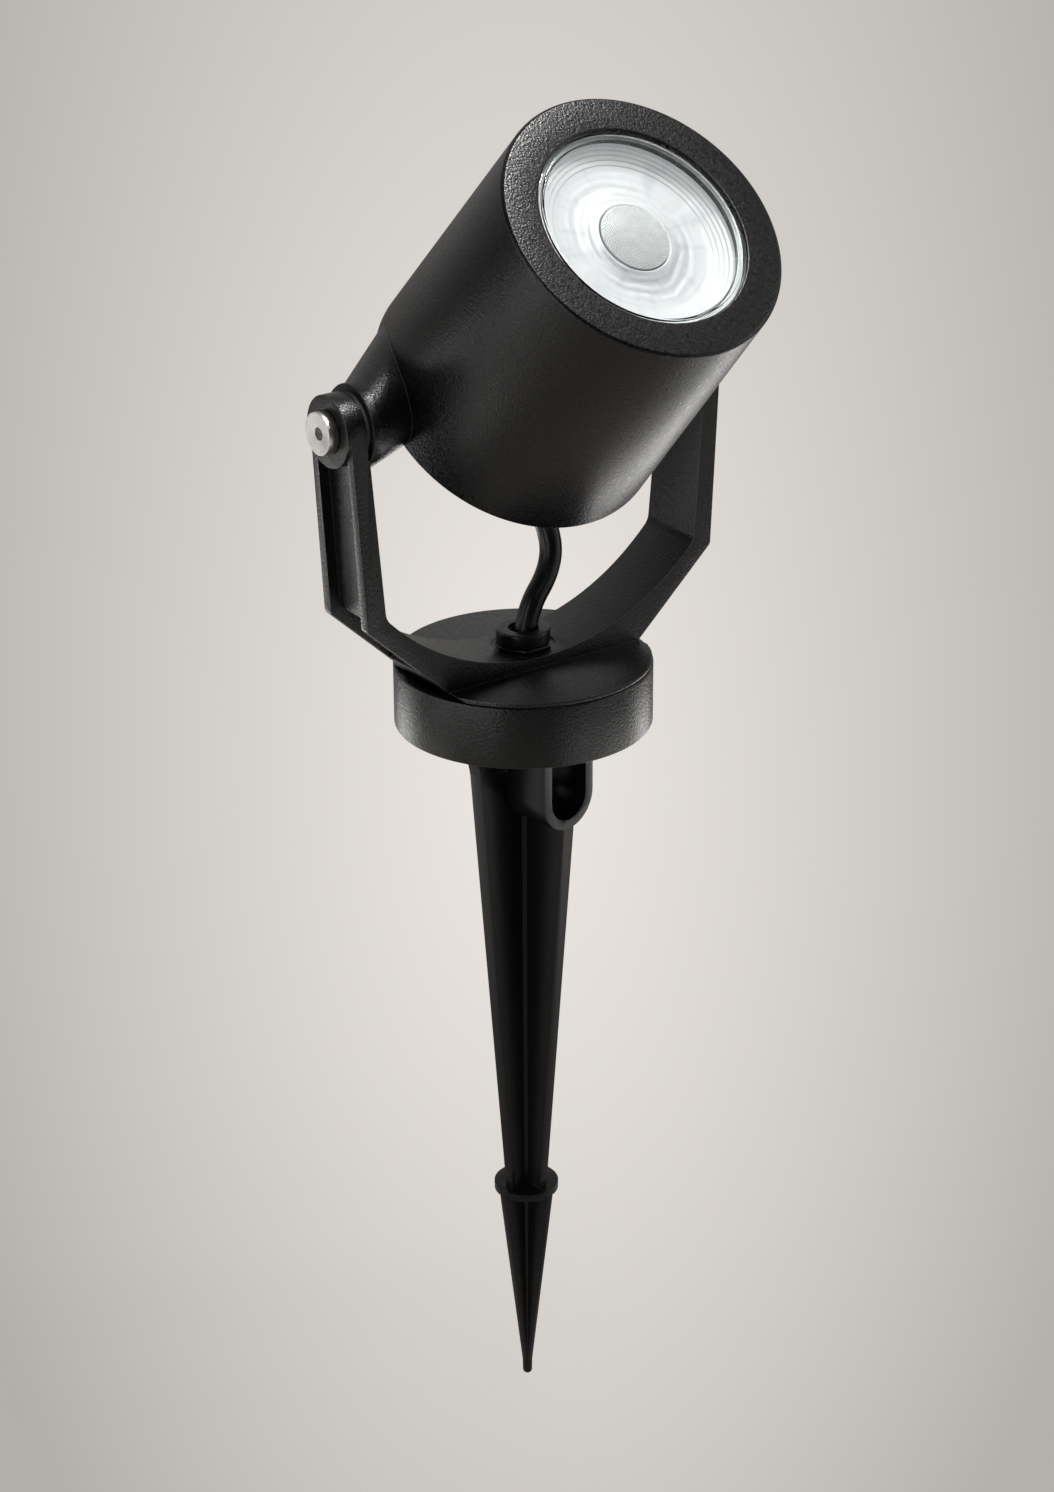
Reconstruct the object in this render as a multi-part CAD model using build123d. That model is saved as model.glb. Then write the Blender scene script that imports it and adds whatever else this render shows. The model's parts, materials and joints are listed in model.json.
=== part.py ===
from build123d import *
import math
import os

# Garden spike spotlight: spike and drum in the ground, a yoke that pans on the drum, a head that tilts
# in the yoke.  Millimetres.  Origin at the centre of the drum's underside, which is ground level.
# Z is up, X is the tilt axis, and the head leans towards -Y.

# ---------------------------------------------------------------- fits and clearances
PART_FIT = 0.3          # radial room between loosely fitted pieces
SCREW_FIT = 0.05        # radial room round a screw or a bush in its bore
RUN_FIT = 0.05          # radial running room of a journal in its bush
FACE_GAP = 0.1          # axial room between faces that slide on each other
LIP_GAP = 0.3           # axial room between the foot and the drum's rim

# ---------------------------------------------------------------- ground spike
PLATE_R = 41.0
PLATE_T = 3.6
SPIKE_TURN = 9.0        # turn of the X section about Z, degrees
BLADE_LENGTH = 189.5
BLADE_TOP_R = 25.5
BLADE_END_R = 9.1
BLADE_TOP_T = 5.6
BLADE_END_T = 3.6
CORE_TOP_R = 5.0
CORE_END_R = 3.2
GUSSET_R = 37.0
GUSSET_DROP = 15.0
COLLAR_R = 12.1
COLLAR_T = 2.8
COLLAR_SHANK = 1.5      # from the end of the blades to the collar
TIP_R = 12.2
TIP_LENGTH = 85.0
TIP_NOSE_R = 1.8
TROUGH_R = 12.2         # outer half width of the tunnel's wall
TROUGH_REACH = 22.5
TROUGH_ROOT = 3.8
TUNNEL_R = 8.55
TUNNEL_AXIS_DROP = 24.3
TUNNEL_END = -3.0

# ---------------------------------------------------------------- plate screws
PLATE_SCREW_N = 4
PLATE_SCREW_CIRCLE_R = 32.0
PLATE_SCREW_R = 1.9
PLATE_SCREW_HOLE_R = 2.3
PLATE_SCREW_HEAD_R = 3.9
PLATE_SCREW_HEAD_H = 2.4
PLATE_SCREW_LENGTH = 10.0
PLATE_BOSS_R = 4.2

# ---------------------------------------------------------------- base drum
DRUM_R = 46.0
DRUM_H = 22.5
DRUM_EDGE = 0.6
DRUM_CAVITY_R = 38.0
DECK_T = 3.7
DECK_BELOW_RIM = 4.3
RIM_WALL = 3.6
GASKET_T = 1.0

# ---------------------------------------------------------------- supply cable inlet
INLET_OFFSET = 15.5
INLET_BORE_R = 4.25
INLET_BARREL_R = 6.0
INLET_HEX_AF = 16.0
INLET_HEX_H = 4.0
INLET_NUT_R = 7.5
INLET_NUT_H = 9.0
INLET_LIP_T = 1.6
INLET_SEAL_T = 2.4

# ---------------------------------------------------------------- terminals
TERMINAL_L = 26.0
TERMINAL_W = 14.0
TERMINAL_H = 8.0
TERMINAL_Y = 24.0
TERMINAL_PITCH = 8.0
TERMINAL_WIRE_R = 1.6
TERMINAL_SCREW_R = 2.2
TERMINAL_SCREW_H = 1.0
EARTH_X = -24.0
EARTH_HEAD_R = 3.5
EARTH_HEAD_H = 2.2
EARTH_R = 1.9
EARTH_LENGTH = 2.6

# ---------------------------------------------------------------- swivel between drum and yoke
JOURNAL_R = 8.0
BUSH_WALL = 1.95
BUSH_FLANGE_R = 14.0
BUSH_FLANGE_T = 0.8
NECK_STEP = 1.1         # neck's radius under the journal's
NIPPLE_TAIL = 0.6       # nipple below its nut
SHOULDER_DEPTH = 1.3    # nipple shoulder below the foot's underside
SWIVEL_NUT_AF = 22.0
SWIVEL_NUT_H = 4.0
WASHER_R = 12.5
WASHER_T = 1.1
SPIGOT_R = 30.0
SEAL_W = 3.0

# ---------------------------------------------------------------- yoke
PIVOT_Z = 121.5
FOOT_STEP = 0.4         # foot's radius under the drum's
FOOT_T = 1.2
FOOT_EDGE = 0.4
WEB_T = 5.0             # thickness at the bottom of the U
ARC_R = 90.0            # inner radius of the U's bottom
ARM_BOTTOM_X = 66.0     # half width inside, at the end of the arc
EAR_INNER_X = 71.0
EAR_PAD_X = 78.6
CORNER_X = 73.5         # outer lower corner
CORNER_Z = 53.5
CHAMFER_X = 40.0        # where the chamfer meets the underside
EAR_OUTER_X = 77.5      # outer edge of the arm at the pivot
EAR_R = 12.3
FOOT_HALF_Y = 13.35
TAPER_START_Z = 50.0
CORNER_FILLET = 2.5
INNER_FILLET = 6.0
FLANGE_W = 4.0
POCKET_DEPTH = 4.0
POCKET_END_X = 50.0
SPOTFACE_R = 11.5

# ---------------------------------------------------------------- glands of the lead
LEAD_R = 4.0
SEAL_ROOM = 0.5         # radial room of the lead in each of the bores that it passes
NIPPLE_ROOM = 0.75
GLAND_ROOM = 0.9
REAR_CAP_ROOM = 1.0
FOOT_CAP_ROOM = 1.2
FOOT_HEX_AF = 18.2
FOOT_HEX_H = 1.4
FOOT_CAP_R = 9.6
FOOT_CAP_H = 5.3
FOOT_CAP_LIP = 1.1
FOOT_CAP_EDGE = 0.8
FOOT_CAP_HOLE_EDGE = 0.5
FOOT_BARREL_R = 7.8
FOOT_SEAL_T = 1.2
NECK_BELOW_HEX = 0.3    # swivel's neck below the top of the hexagon
REAR_GLAND_Y = -12.0    # below the pivot line, in the head's frame
REAR_HEX_AF = 16.0
REAR_HEX_H = 2.8
REAR_CAP_R = 7.8
REAR_CAP_H = 4.0
REAR_CAP_LIP = 1.4
REAR_BARREL_R = 6.4
REAR_THREAD_R = 5.9
REAR_NUT_H = 3.0
REAR_SEAL_T = 1.2

# ---------------------------------------------------------------- head
TILT = 43.5             # lean of the head's axis from upright, degrees
HEAD_FRONT = 96.9       # front face, measured along the head's axis from the pivot
HEAD_REAR = -6.5
HEAD_FRONT_R = 49.2
HEAD_REAR_R = 52.85
REAR_CHAMFER = 3.5
HEAD_WALL = 3.6
RING_T = 1.2            # ring's flange over the end of the can
RING_LIP_T = 2.7
RING_OPENING_R = 36.5
RING_EDGE = 0.8
OPENING_EDGE = 0.4
SKIRT_R = 47.0
SKIRT_WALL = 2.0
SKIRT_LENGTH = 9.7
NECK_WALL = 2.4
SHELF_BELOW_FRONT = 26.9
SHELF_T = 4.0
SHELF_R = 41.0
REAR_LEDGE_Z = -0.3
REAR_LEDGE_T = 6.3
REAR_LEDGE_R = 36.0
REAR_MOUTH_R = 45.0

# ---------------------------------------------------------------- lugs and pivots
LUG_R = 14.5
LUG_FACE_X = 69.8
LUG_STRAIGHT = 3.8
LUG_ROOT_X = 40.0
LUG_ROOT_HALF_Y = 20.0  # the lug's root inside the can is an ellipse
LUG_ROOT_HALF_Z = 13.0
LUG_ROOT_Y = 14.0
LUG_RELIEF = 0.5        # room between the lug's edge and the spotface in the arm
PIVOT_R = 5.0
PIVOT_DEPTH = 11.8      # of the screw in its lug
PIVOT_HEAD_R = 7.3
PIVOT_HEAD_H = 3.8
PIVOT_HEAD_EDGE = 0.7
PIVOT_CONE_R = 5.6
PIVOT_CONE_DEPTH = 1.2
PIVOT_SOCKET_AF = 4.0
PIVOT_SOCKET_DEPTH = 2.6
PIVOT_WASHER_R = 12.0
EAR_BUSH_WALL = 1.45

# ---------------------------------------------------------------- glass, light source and rear cover
GLASS_R = 44.2
GLASS_FLANGE_T = 1.8
GLASS_STEP_R = 35.3
GLASS_SET_BACK = 0.7    # glass face behind the ring's face
GLASS_EDGE = 0.5
GLASS_GASKET_T = 0.8
REFLECTOR_T = 1.6
REFLECTOR_RIM_R = 33.5
REFLECTOR_LIP = 1.1
REFLECTOR_DISH = 3.8
REFLECTOR_HOLE_R = 13.5
OPTIC_R = 12.0
OPTIC_CROWN = 1.7
OPTIC_SIDE = 2.0
OPTIC_UNDER_GLASS = 0.6
OPTIC_BASE_R = 8.5
HOLDER_R = 15.0
CHIP_R = 3.5
CHIP_H = 1.2
BOARD_R = 16.5
BOARD_T = 1.6
SINK_PLATE_T = 6.0
SINK_POST_R = 18.0
SINK_POST_H = 4.0
DRIVER_L = 50.0
DRIVER_W = 36.0
DRIVER_H = 25.0
DRIVER_CORNER = 3.0
COVER_T = 4.5
COVER_GASKET_T = 0.8
COVER_SCREW_N = 4
COVER_SCREW_CIRCLE_R = 40.5
COVER_SCREW_R = 1.9
COVER_SCREW_HEAD_R = 3.4
COVER_SCREW_HEAD_H = 1.8
COVER_SCREW_LENGTH = 8.5
HOLE_ROOM = 0.5         # blind hole beyond its screw's tip

# ---------------------------------------------------------------- levels that follow from the sizes
GASKET_TOP = PLATE_T + GASKET_T
DECK_TOP = DRUM_H - DECK_BELOW_RIM
DECK_BOTTOM = DECK_TOP - DECK_T
FOOT_Z = DRUM_H + LIP_GAP
BUSH_TOP = DECK_TOP + BUSH_FLANGE_T
NECK_R = JOURNAL_R - NECK_STEP
FOOT_R = DRUM_R - FOOT_STEP
SPIGOT_Z = BUSH_TOP + FACE_GAP
SHOULDER_Z = FOOT_Z - SHOULDER_DEPTH
WEB_Z = FOOT_Z + WEB_T
WASHER_TOP = DECK_BOTTOM - FACE_GAP
WASHER_Z = WASHER_TOP - WASHER_T
SWIVEL_NUT_Z = WASHER_Z - SWIVEL_NUT_H
NIPPLE_Z = SWIVEL_NUT_Z - NIPPLE_TAIL
FOOT_HEX_TOP = WEB_Z + FOOT_HEX_H
FOOT_CAP_TOP = FOOT_HEX_TOP + FOOT_CAP_H
NECK_TOP = FOOT_HEX_TOP - NECK_BELOW_HEX
SEAL_BORE_R = LEAD_R + SEAL_ROOM
NIPPLE_BORE_R = LEAD_R + NIPPLE_ROOM
GLAND_BORE_R = LEAD_R + GLAND_ROOM
REAR_CAP_HOLE_R = LEAD_R + REAR_CAP_ROOM
FOOT_CAP_HOLE_R = LEAD_R + FOOT_CAP_ROOM
BLADE_SLOPE = (BLADE_TOP_R - BLADE_END_R) / BLADE_LENGTH
COVER_TOP = REAR_LEDGE_Z - COVER_GASKET_T
COVER_Z = COVER_TOP - COVER_T
RING_Z = HEAD_FRONT - RING_T
RING_LIP_Z = HEAD_FRONT - RING_LIP_T
GLASS_FLANGE_TOP = RING_LIP_Z - GLASS_GASKET_T
GLASS_Z = GLASS_FLANGE_TOP - GLASS_FLANGE_T
REFLECTOR_Z = GLASS_Z - REFLECTOR_T
GROOVE_IN_R = SKIRT_R - SKIRT_WALL - SCREW_FIT
NECK_IN_R = GROOVE_IN_R - NECK_WALL
SHELF_Z = HEAD_FRONT - SHELF_BELOW_FRONT
SINK_POST_TOP = SHELF_Z + SINK_PLATE_T + SINK_POST_H
BOARD_TOP = SINK_POST_TOP + BOARD_T
HEAD_SLOPE = (HEAD_REAR_R - HEAD_FRONT_R) / (HEAD_FRONT - HEAD_REAR - REAR_CHAMFER)

ON_BASE = (Align.CENTER, Align.CENTER, Align.MIN)


def rod(radius, z0, z1):
    """Upright cylinder between two heights."""
    return Pos(0, 0, z0) * Cylinder(radius, z1 - z0, align=ON_BASE)


def tube(outer, inner, z0, z1):
    """Upright ring between two heights."""
    return rod(outer, z0, z1) - rod(inner, z0 - 1, z1 + 1)


def hex_bar(across_flats, z0, z1):
    """Upright hexagonal bar between two heights."""
    face = RegularPolygon(across_flats / 2, 6, major_radius=False)
    return extrude(Pos(0, 0, z0) * face, z1 - z0)


def turned(points):
    """Solid of revolution about Z from a closed outline of (radius, height) points."""
    outline = Plane.XZ * Polyline(*points, close=True)
    return revolve(make_face(outline), Axis.Z)


def slab_xz(points, half_depth):
    """Outline of (x, z) points made into a slab centred on the XZ plane."""
    outline = Plane.XZ * Polyline(*points, close=True)
    return extrude(make_face(outline), half_depth, both=True)


def round_pattern(shape, radius, count, start):
    """Copies of a shape at even steps round Z."""
    step = 360.0 / count
    return [Rot(0, 0, start + step * i) * Pos(radius, 0, 0) * shape for i in range(count)]


def along_x(shape, side):
    """Turn an upright shape so that its +Z points outwards along X on one side, at the pivot line."""
    return Rot(0, 90 * side, 0) * shape


def mirrored_pair(shape):
    """A shape and its mirror image in the YZ plane."""
    return [shape, mirror(shape, Plane.YZ)]


def outer_r(z):
    """Outer radius of the head at a height along its axis."""
    return HEAD_FRONT_R + HEAD_SLOPE * (HEAD_FRONT - z)


# ================================================================ ground spike
screw_start = SPIKE_TURN + 45.0
blade_end_z = -BLADE_LENGTH
collar_top = blade_end_z - COLLAR_SHANK
collar_bottom = collar_top - COLLAR_T
tip_slope = TIP_R / (TIP_LENGTH - TIP_NOSE_R)


def cross_bar(turn, z0, half0, thick0, z1, half1, thick1):
    """Tapering bar through the axis, between two heights."""
    upper = Pos(0, 0, z0) * Rectangle(2 * half0, thick0)
    lower = Pos(0, 0, z1) * Rectangle(2 * half1, thick1)
    return Rot(0, 0, turn) * loft([upper, lower])


blades = cross_bar(0, 0, BLADE_TOP_R, BLADE_TOP_T, blade_end_z, BLADE_END_R, BLADE_END_T)
blades += cross_bar(90, 0, BLADE_TOP_R, BLADE_TOP_T, blade_end_z, BLADE_END_R, BLADE_END_T)
blades += turned([(0, 0), (CORE_TOP_R, 0), (CORE_END_R, blade_end_z), (0, blade_end_z)])

gusset_foot_r = BLADE_TOP_R - BLADE_SLOPE * GUSSET_DROP
gusset_mid_r = gusset_foot_r + 0.25 * (GUSSET_R - gusset_foot_r)
gusset_edge = ThreePointArc((gusset_foot_r, -GUSSET_DROP), (gusset_mid_r, -0.45 * GUSSET_DROP), (GUSSET_R, 0))
gusset_back = Polyline((GUSSET_R, 0), (TROUGH_ROOT, 0), (TROUGH_ROOT, -GUSSET_DROP), (gusset_foot_r, -GUSSET_DROP))
gusset = extrude(make_face(Plane.XZ * (gusset_edge + gusset_back)), BLADE_TOP_T / 2, both=True)
gussets = [Rot(0, 0, turn) * gusset for turn in (0, 90, 180)]


def u_slab(half_width, r0, r1):
    """U-shaped slab hanging from the plate, square to the -Y arm, between two distances from the axis."""
    drop = TUNNEL_AXIS_DROP
    sides = Pos(0, -drop / 2) * Rectangle(2 * half_width, drop)
    face = sides + Pos(0, -drop) * Circle(half_width)
    return extrude(Plane.XZ.offset(r0) * face, r1 - r0)


trough = u_slab(TROUGH_R, TROUGH_ROOT, TROUGH_REACH)
tunnel = u_slab(TUNNEL_R, TUNNEL_END, TROUGH_REACH + 5.0)

tip_bar = cross_bar(0, collar_bottom, TIP_R, BLADE_END_T, collar_bottom - TIP_LENGTH, 0.6, 2.2)
tip_cross = tip_bar + Rot(0, 0, 90) * tip_bar
nose_z = collar_bottom - TIP_LENGTH + TIP_NOSE_R
tip_core = turned([(0, collar_bottom), (CORE_END_R, collar_bottom), (TIP_NOSE_R, nose_z), (0, nose_z)])
tip_core += Pos(0, 0, nose_z) * Sphere(TIP_NOSE_R)
tip_limit = rod(TIP_R + 1, nose_z, collar_bottom)
tip = (tip_cross & tip_limit) + tip_core

shank = rod(CORE_END_R, collar_top, blade_end_z)
shank += cross_bar(0, blade_end_z, BLADE_END_R, BLADE_END_T, collar_top, BLADE_END_R, BLADE_END_T)
shank += cross_bar(90, blade_end_z, BLADE_END_R, BLADE_END_T, collar_top, BLADE_END_R, BLADE_END_T)
collar = rod(COLLAR_R, collar_bottom, collar_top)

spike_cross = blades + gussets + trough - tunnel
spike_cross = spike_cross + shank + collar + tip
plate = rod(PLATE_R, 0, PLATE_T)
ground_spike = Rot(0, 0, SPIKE_TURN) * (spike_cross + plate)
plate_hole = rod(PLATE_SCREW_HOLE_R, -1, PLATE_T + 1)
ground_spike -= round_pattern(plate_hole, PLATE_SCREW_CIRCLE_R, PLATE_SCREW_N, screw_start)
inlet_place = Rot(0, 0, SPIKE_TURN) * Pos(0, -INLET_OFFSET, 0)
ground_spike -= inlet_place * rod(INLET_BARREL_R + SCREW_FIT, -1, PLATE_T + 1)

# ================================================================ drum and its fittings
gasket_outer = PLATE_R + PART_FIT - FACE_GAP
base_gasket = tube(gasket_outer, DRUM_CAVITY_R + FACE_GAP, PLATE_T, GASKET_TOP)

recess_r = PLATE_R + PART_FIT
rim_r = DRUM_R - RIM_WALL
bush_r = JOURNAL_R + RUN_FIT + BUSH_WALL
drum_outline = [
    (recess_r, 0),
    (DRUM_R - DRUM_EDGE, 0),
    (DRUM_R, DRUM_EDGE),
    (DRUM_R, DRUM_H - DRUM_EDGE),
    (DRUM_R - DRUM_EDGE, DRUM_H),
    (rim_r, DRUM_H),
    (rim_r, DECK_TOP),
    (bush_r, DECK_TOP),
    (bush_r, DECK_BOTTOM),
    (DRUM_CAVITY_R, DECK_BOTTOM),
    (DRUM_CAVITY_R, GASKET_TOP),
    (recess_r, GASKET_TOP),
]
base_drum = turned(drum_outline)
plate_boss = rod(PLATE_BOSS_R, PLATE_T, DECK_BOTTOM)
base_drum += round_pattern(plate_boss, PLATE_SCREW_CIRCLE_R, PLATE_SCREW_N, screw_start)
boss_hole = rod(PLATE_SCREW_R + SCREW_FIT, 0, PLATE_SCREW_LENGTH + HOLE_ROOM)
base_drum -= round_pattern(boss_hole, PLATE_SCREW_CIRCLE_R, PLATE_SCREW_N, screw_start)
earth_hole = rod(EARTH_R + SCREW_FIT, DECK_BOTTOM - 1, DECK_BOTTOM + EARTH_LENGTH + HOLE_ROOM)
base_drum -= Pos(EARTH_X, 0, 0) * earth_hole

plate_screw = rod(PLATE_SCREW_HEAD_R, -PLATE_SCREW_HEAD_H, 0)
plate_screw += rod(PLATE_SCREW_R, 0, PLATE_SCREW_LENGTH)
spike_screws = round_pattern(plate_screw, PLATE_SCREW_CIRCLE_R, PLATE_SCREW_N, screw_start)

inlet_seat = -INLET_NUT_H + INLET_LIP_T + INLET_SEAL_T
inlet_gland_body = hex_bar(INLET_HEX_AF, PLATE_T, PLATE_T + INLET_HEX_H)
inlet_gland_body += rod(INLET_BARREL_R, inlet_seat, PLATE_T)
inlet_gland_body -= rod(INLET_BORE_R, -INLET_NUT_H - 1, PLATE_T + INLET_HEX_H + 1)
inlet_gland_body = inlet_place * inlet_gland_body
inlet_gland_nut = rod(INLET_NUT_R, -INLET_NUT_H, 0)
inlet_gland_nut -= rod(INLET_BARREL_R + SCREW_FIT, -INLET_NUT_H + INLET_LIP_T, 1)
inlet_gland_nut -= rod(INLET_BORE_R, -INLET_NUT_H - 1, 1)
inlet_gland_nut = inlet_place * inlet_gland_nut
inlet_seal = tube(INLET_BARREL_R, INLET_BORE_R, -INLET_NUT_H + INLET_LIP_T, inlet_seat)
inlet_seal = inlet_place * inlet_seal

terminal_z = DECK_BOTTOM - TERMINAL_H
terminal_block = Pos(0, 0, terminal_z) * Box(TERMINAL_L, TERMINAL_W, TERMINAL_H, align=ON_BASE)
port = Rot(90, 0, 0) * Cylinder(TERMINAL_WIRE_R, TERMINAL_W + 2)
terminal_xs = [-TERMINAL_PITCH, 0, TERMINAL_PITCH]
terminal_block -= [Pos(x, 0, terminal_z + TERMINAL_H / 2) * port for x in terminal_xs]
terminal_block = Pos(0, TERMINAL_Y, 0) * terminal_block
terminal_screw = rod(TERMINAL_SCREW_R, terminal_z - TERMINAL_SCREW_H, terminal_z)
terminal_screws = [Pos(x, TERMINAL_Y, 0) * terminal_screw for x in terminal_xs]

earth_screw = rod(EARTH_HEAD_R, DECK_BOTTOM - EARTH_HEAD_H, DECK_BOTTOM)
earth_screw += rod(EARTH_R, DECK_BOTTOM, DECK_BOTTOM + EARTH_LENGTH)
earth_screw = Pos(EARTH_X, 0, 0) * earth_screw

swivel_bush = rod(bush_r, DECK_BOTTOM, DECK_TOP) + rod(BUSH_FLANGE_R, DECK_TOP, BUSH_TOP)
swivel_bush -= rod(JOURNAL_R + RUN_FIT, DECK_BOTTOM - 1, BUSH_TOP + 1)

# ================================================================ swivel pieces that turn with the yoke
swivel_nipple = rod(JOURNAL_R, NIPPLE_Z, SHOULDER_Z) + rod(NECK_R, SHOULDER_Z, NECK_TOP)
swivel_nipple -= rod(NIPPLE_BORE_R, NIPPLE_Z - 1, FOOT_HEX_TOP + 1)
swivel_nut = hex_bar(SWIVEL_NUT_AF, SWIVEL_NUT_Z, WASHER_Z)
swivel_nut -= rod(JOURNAL_R + SCREW_FIT, SWIVEL_NUT_Z - 1, WASHER_Z + 1)
friction_washer = tube(WASHER_R, JOURNAL_R + PART_FIT, WASHER_Z, WASHER_TOP)
swivel_seal = tube(SPIGOT_R + SEAL_W, SPIGOT_R, DECK_TOP + LIP_GAP, FOOT_Z)

# ================================================================ yoke
arc_end_z = WEB_Z + ARC_R - math.sqrt(ARC_R**2 - ARM_BOTTOM_X**2)
ear_top = PIVOT_Z + EAR_R
inner_lean = (EAR_INNER_X - ARM_BOTTOM_X) / (PIVOT_Z - arc_end_z)
outer_lean = (EAR_OUTER_X - CORNER_X) / (PIVOT_Z - CORNER_Z)
inner_top_x = EAR_INNER_X + inner_lean * EAR_R
outer_top_x = EAR_OUTER_X + outer_lean * EAR_R
chamfer_lean = (CORNER_X - CHAMFER_X) / (CORNER_Z - FOOT_Z)

arc = ThreePointArc((-ARM_BOTTOM_X, arc_end_z), (0, WEB_Z), (ARM_BOTTOM_X, arc_end_z))
outside = Polyline(
    (ARM_BOTTOM_X, arc_end_z),
    (inner_top_x, ear_top),
    (outer_top_x, ear_top),
    (CORNER_X, CORNER_Z),
    (CHAMFER_X, FOOT_Z),
    (-CHAMFER_X, FOOT_Z),
    (-CORNER_X, CORNER_Z),
    (-outer_top_x, ear_top),
    (-inner_top_x, ear_top),
    (-ARM_BOTTOM_X, arc_end_z),
)
strap_face = make_face(arc + outside)
outer_corners = strap_face.vertices().filter_by(lambda v: abs(abs(v.X) - CORNER_X) < 0.01)
strap_face = fillet(outer_corners, CORNER_FILLET)
inner_corners = strap_face.vertices().filter_by(lambda v: abs(abs(v.X) - ARM_BOTTOM_X) < 0.01)
strap_face = fillet(inner_corners, INNER_FILLET)
strap = extrude(Plane.XZ * strap_face, FOOT_HALF_Y + 1, both=True)

# the arms end at the pivot line, where the round ear pads take over
side_lines = Polyline(
    (-EAR_R, PIVOT_Z),
    (-FOOT_HALF_Y, TAPER_START_Z),
    (-FOOT_HALF_Y, FOOT_Z),
    (FOOT_HALF_Y, FOOT_Z),
    (FOOT_HALF_Y, TAPER_START_Z),
    (EAR_R, PIVOT_Z),
    close=True,
)
side_face = make_face(Plane.YZ * side_lines)
strap = strap & extrude(side_face, EAR_PAD_X + 5, both=True)

# pocket between the flanges, from under the ear pad round the corner and along the chamfer
arm_len = math.hypot(CORNER_X - EAR_OUTER_X, CORNER_Z - PIVOT_Z)
cham_len = math.hypot(CORNER_X - CHAMFER_X, CORNER_Z - FOOT_Z)
cham_nx = (CORNER_Z - FOOT_Z) / cham_len
cham_nz = -(CORNER_X - CHAMFER_X) / cham_len
arm_nx = (PIVOT_Z - CORNER_Z) / arm_len
arm_nz = -(EAR_OUTER_X - CORNER_X) / arm_len
end_out_x = POCKET_END_X
end_out_z = CORNER_Z - (CORNER_X - POCKET_END_X) / chamfer_lean
end_in_x = end_out_x - POCKET_DEPTH * cham_nx
end_in_z = end_out_z - POCKET_DEPTH * cham_nz
bisect = POCKET_DEPTH / (1 + arm_nx * cham_nx + arm_nz * cham_nz)
corner_in_x = CORNER_X - bisect * (arm_nx + cham_nx)
corner_in_z = CORNER_Z - bisect * (arm_nz + cham_nz)
top_in_x = EAR_OUTER_X - POCKET_DEPTH * arm_nx
pocket_face = make_face(
    Plane.XZ
    * Polyline(
        (end_out_x, end_out_z),
        (end_in_x, end_in_z),
        (corner_in_x, corner_in_z),
        (top_in_x, PIVOT_Z),
        (EAR_PAD_X + 8, PIVOT_Z),
        (EAR_PAD_X + 8, CORNER_Z - 20),
        (end_out_x + 8 * cham_nx, end_out_z + 8 * cham_nz),
        close=True,
    )
)
pocket = extrude(pocket_face, FOOT_HALF_Y - FLANGE_W, both=True)
strap -= mirrored_pair(pocket)
ear_pad = along_x(rod(EAR_R, EAR_INNER_X, EAR_PAD_X), 1)
strap += mirrored_pair(Pos(0, 0, PIVOT_Z) * ear_pad)

# round foot plate under the strap, cut by the planes of the two chamfers
foot_disc = rod(FOOT_R - FOOT_EDGE, FOOT_Z, FOOT_Z + FOOT_T) + rod(FOOT_R, FOOT_Z, FOOT_Z + FOOT_T - FOOT_EDGE)
foot_top_x = CHAMFER_X + FOOT_T * chamfer_lean
foot_limit = slab_xz(
    [
        (-CHAMFER_X, FOOT_Z),
        (CHAMFER_X, FOOT_Z),
        (foot_top_x, FOOT_Z + FOOT_T),
        (-foot_top_x, FOOT_Z + FOOT_T),
    ],
    FOOT_R + 1,
)
yoke = strap + (foot_disc & foot_limit) + rod(SPIGOT_R, SPIGOT_Z, FOOT_Z)
yoke -= rod(SPOTFACE_R, WEB_Z, WEB_Z + 20)
yoke -= rod(JOURNAL_R + SCREW_FIT, SPIGOT_Z - 1, SHOULDER_Z)
yoke -= rod(NECK_R + SCREW_FIT, SPIGOT_Z - 1, WEB_Z + 1)
ear_bore = PIVOT_R + RUN_FIT + EAR_BUSH_WALL
ear_cut = along_x(rod(ear_bore, EAR_INNER_X - 20, EAR_PAD_X + 1) + rod(LUG_R + LUG_RELIEF, 50, EAR_INNER_X), 1)
yoke -= mirrored_pair(Pos(0, 0, PIVOT_Z) * ear_cut)

ear_bush = along_x(tube(ear_bore, PIVOT_R + RUN_FIT, EAR_INNER_X, EAR_PAD_X), 1)
ear_bushes = mirrored_pair(Pos(0, 0, PIVOT_Z) * ear_bush)

# ================================================================ gland on the yoke's foot
foot_seal_top = FOOT_CAP_TOP - FOOT_CAP_LIP
foot_seal_z = foot_seal_top - FOOT_SEAL_T
foot_gland_body = hex_bar(FOOT_HEX_AF, WEB_Z, FOOT_HEX_TOP) + rod(FOOT_BARREL_R, FOOT_HEX_TOP, foot_seal_z)
foot_gland_body -= rod(NECK_R + SCREW_FIT, WEB_Z - 1, NECK_TOP)
foot_gland_body -= rod(GLAND_BORE_R, WEB_Z - 1, foot_seal_z + 1)
foot_cap_outline = [
    (FOOT_CAP_HOLE_R, foot_seal_top),
    (FOOT_BARREL_R + SCREW_FIT, foot_seal_top),
    (FOOT_BARREL_R + SCREW_FIT, FOOT_HEX_TOP),
    (FOOT_CAP_R, FOOT_HEX_TOP),
    (FOOT_CAP_R, FOOT_CAP_TOP - FOOT_CAP_EDGE),
    (FOOT_CAP_R - FOOT_CAP_EDGE, FOOT_CAP_TOP),
    (FOOT_CAP_HOLE_R + FOOT_CAP_HOLE_EDGE, FOOT_CAP_TOP),
    (FOOT_CAP_HOLE_R, FOOT_CAP_TOP - FOOT_CAP_HOLE_EDGE),
]
foot_gland_cap = turned(foot_cap_outline)
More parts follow.
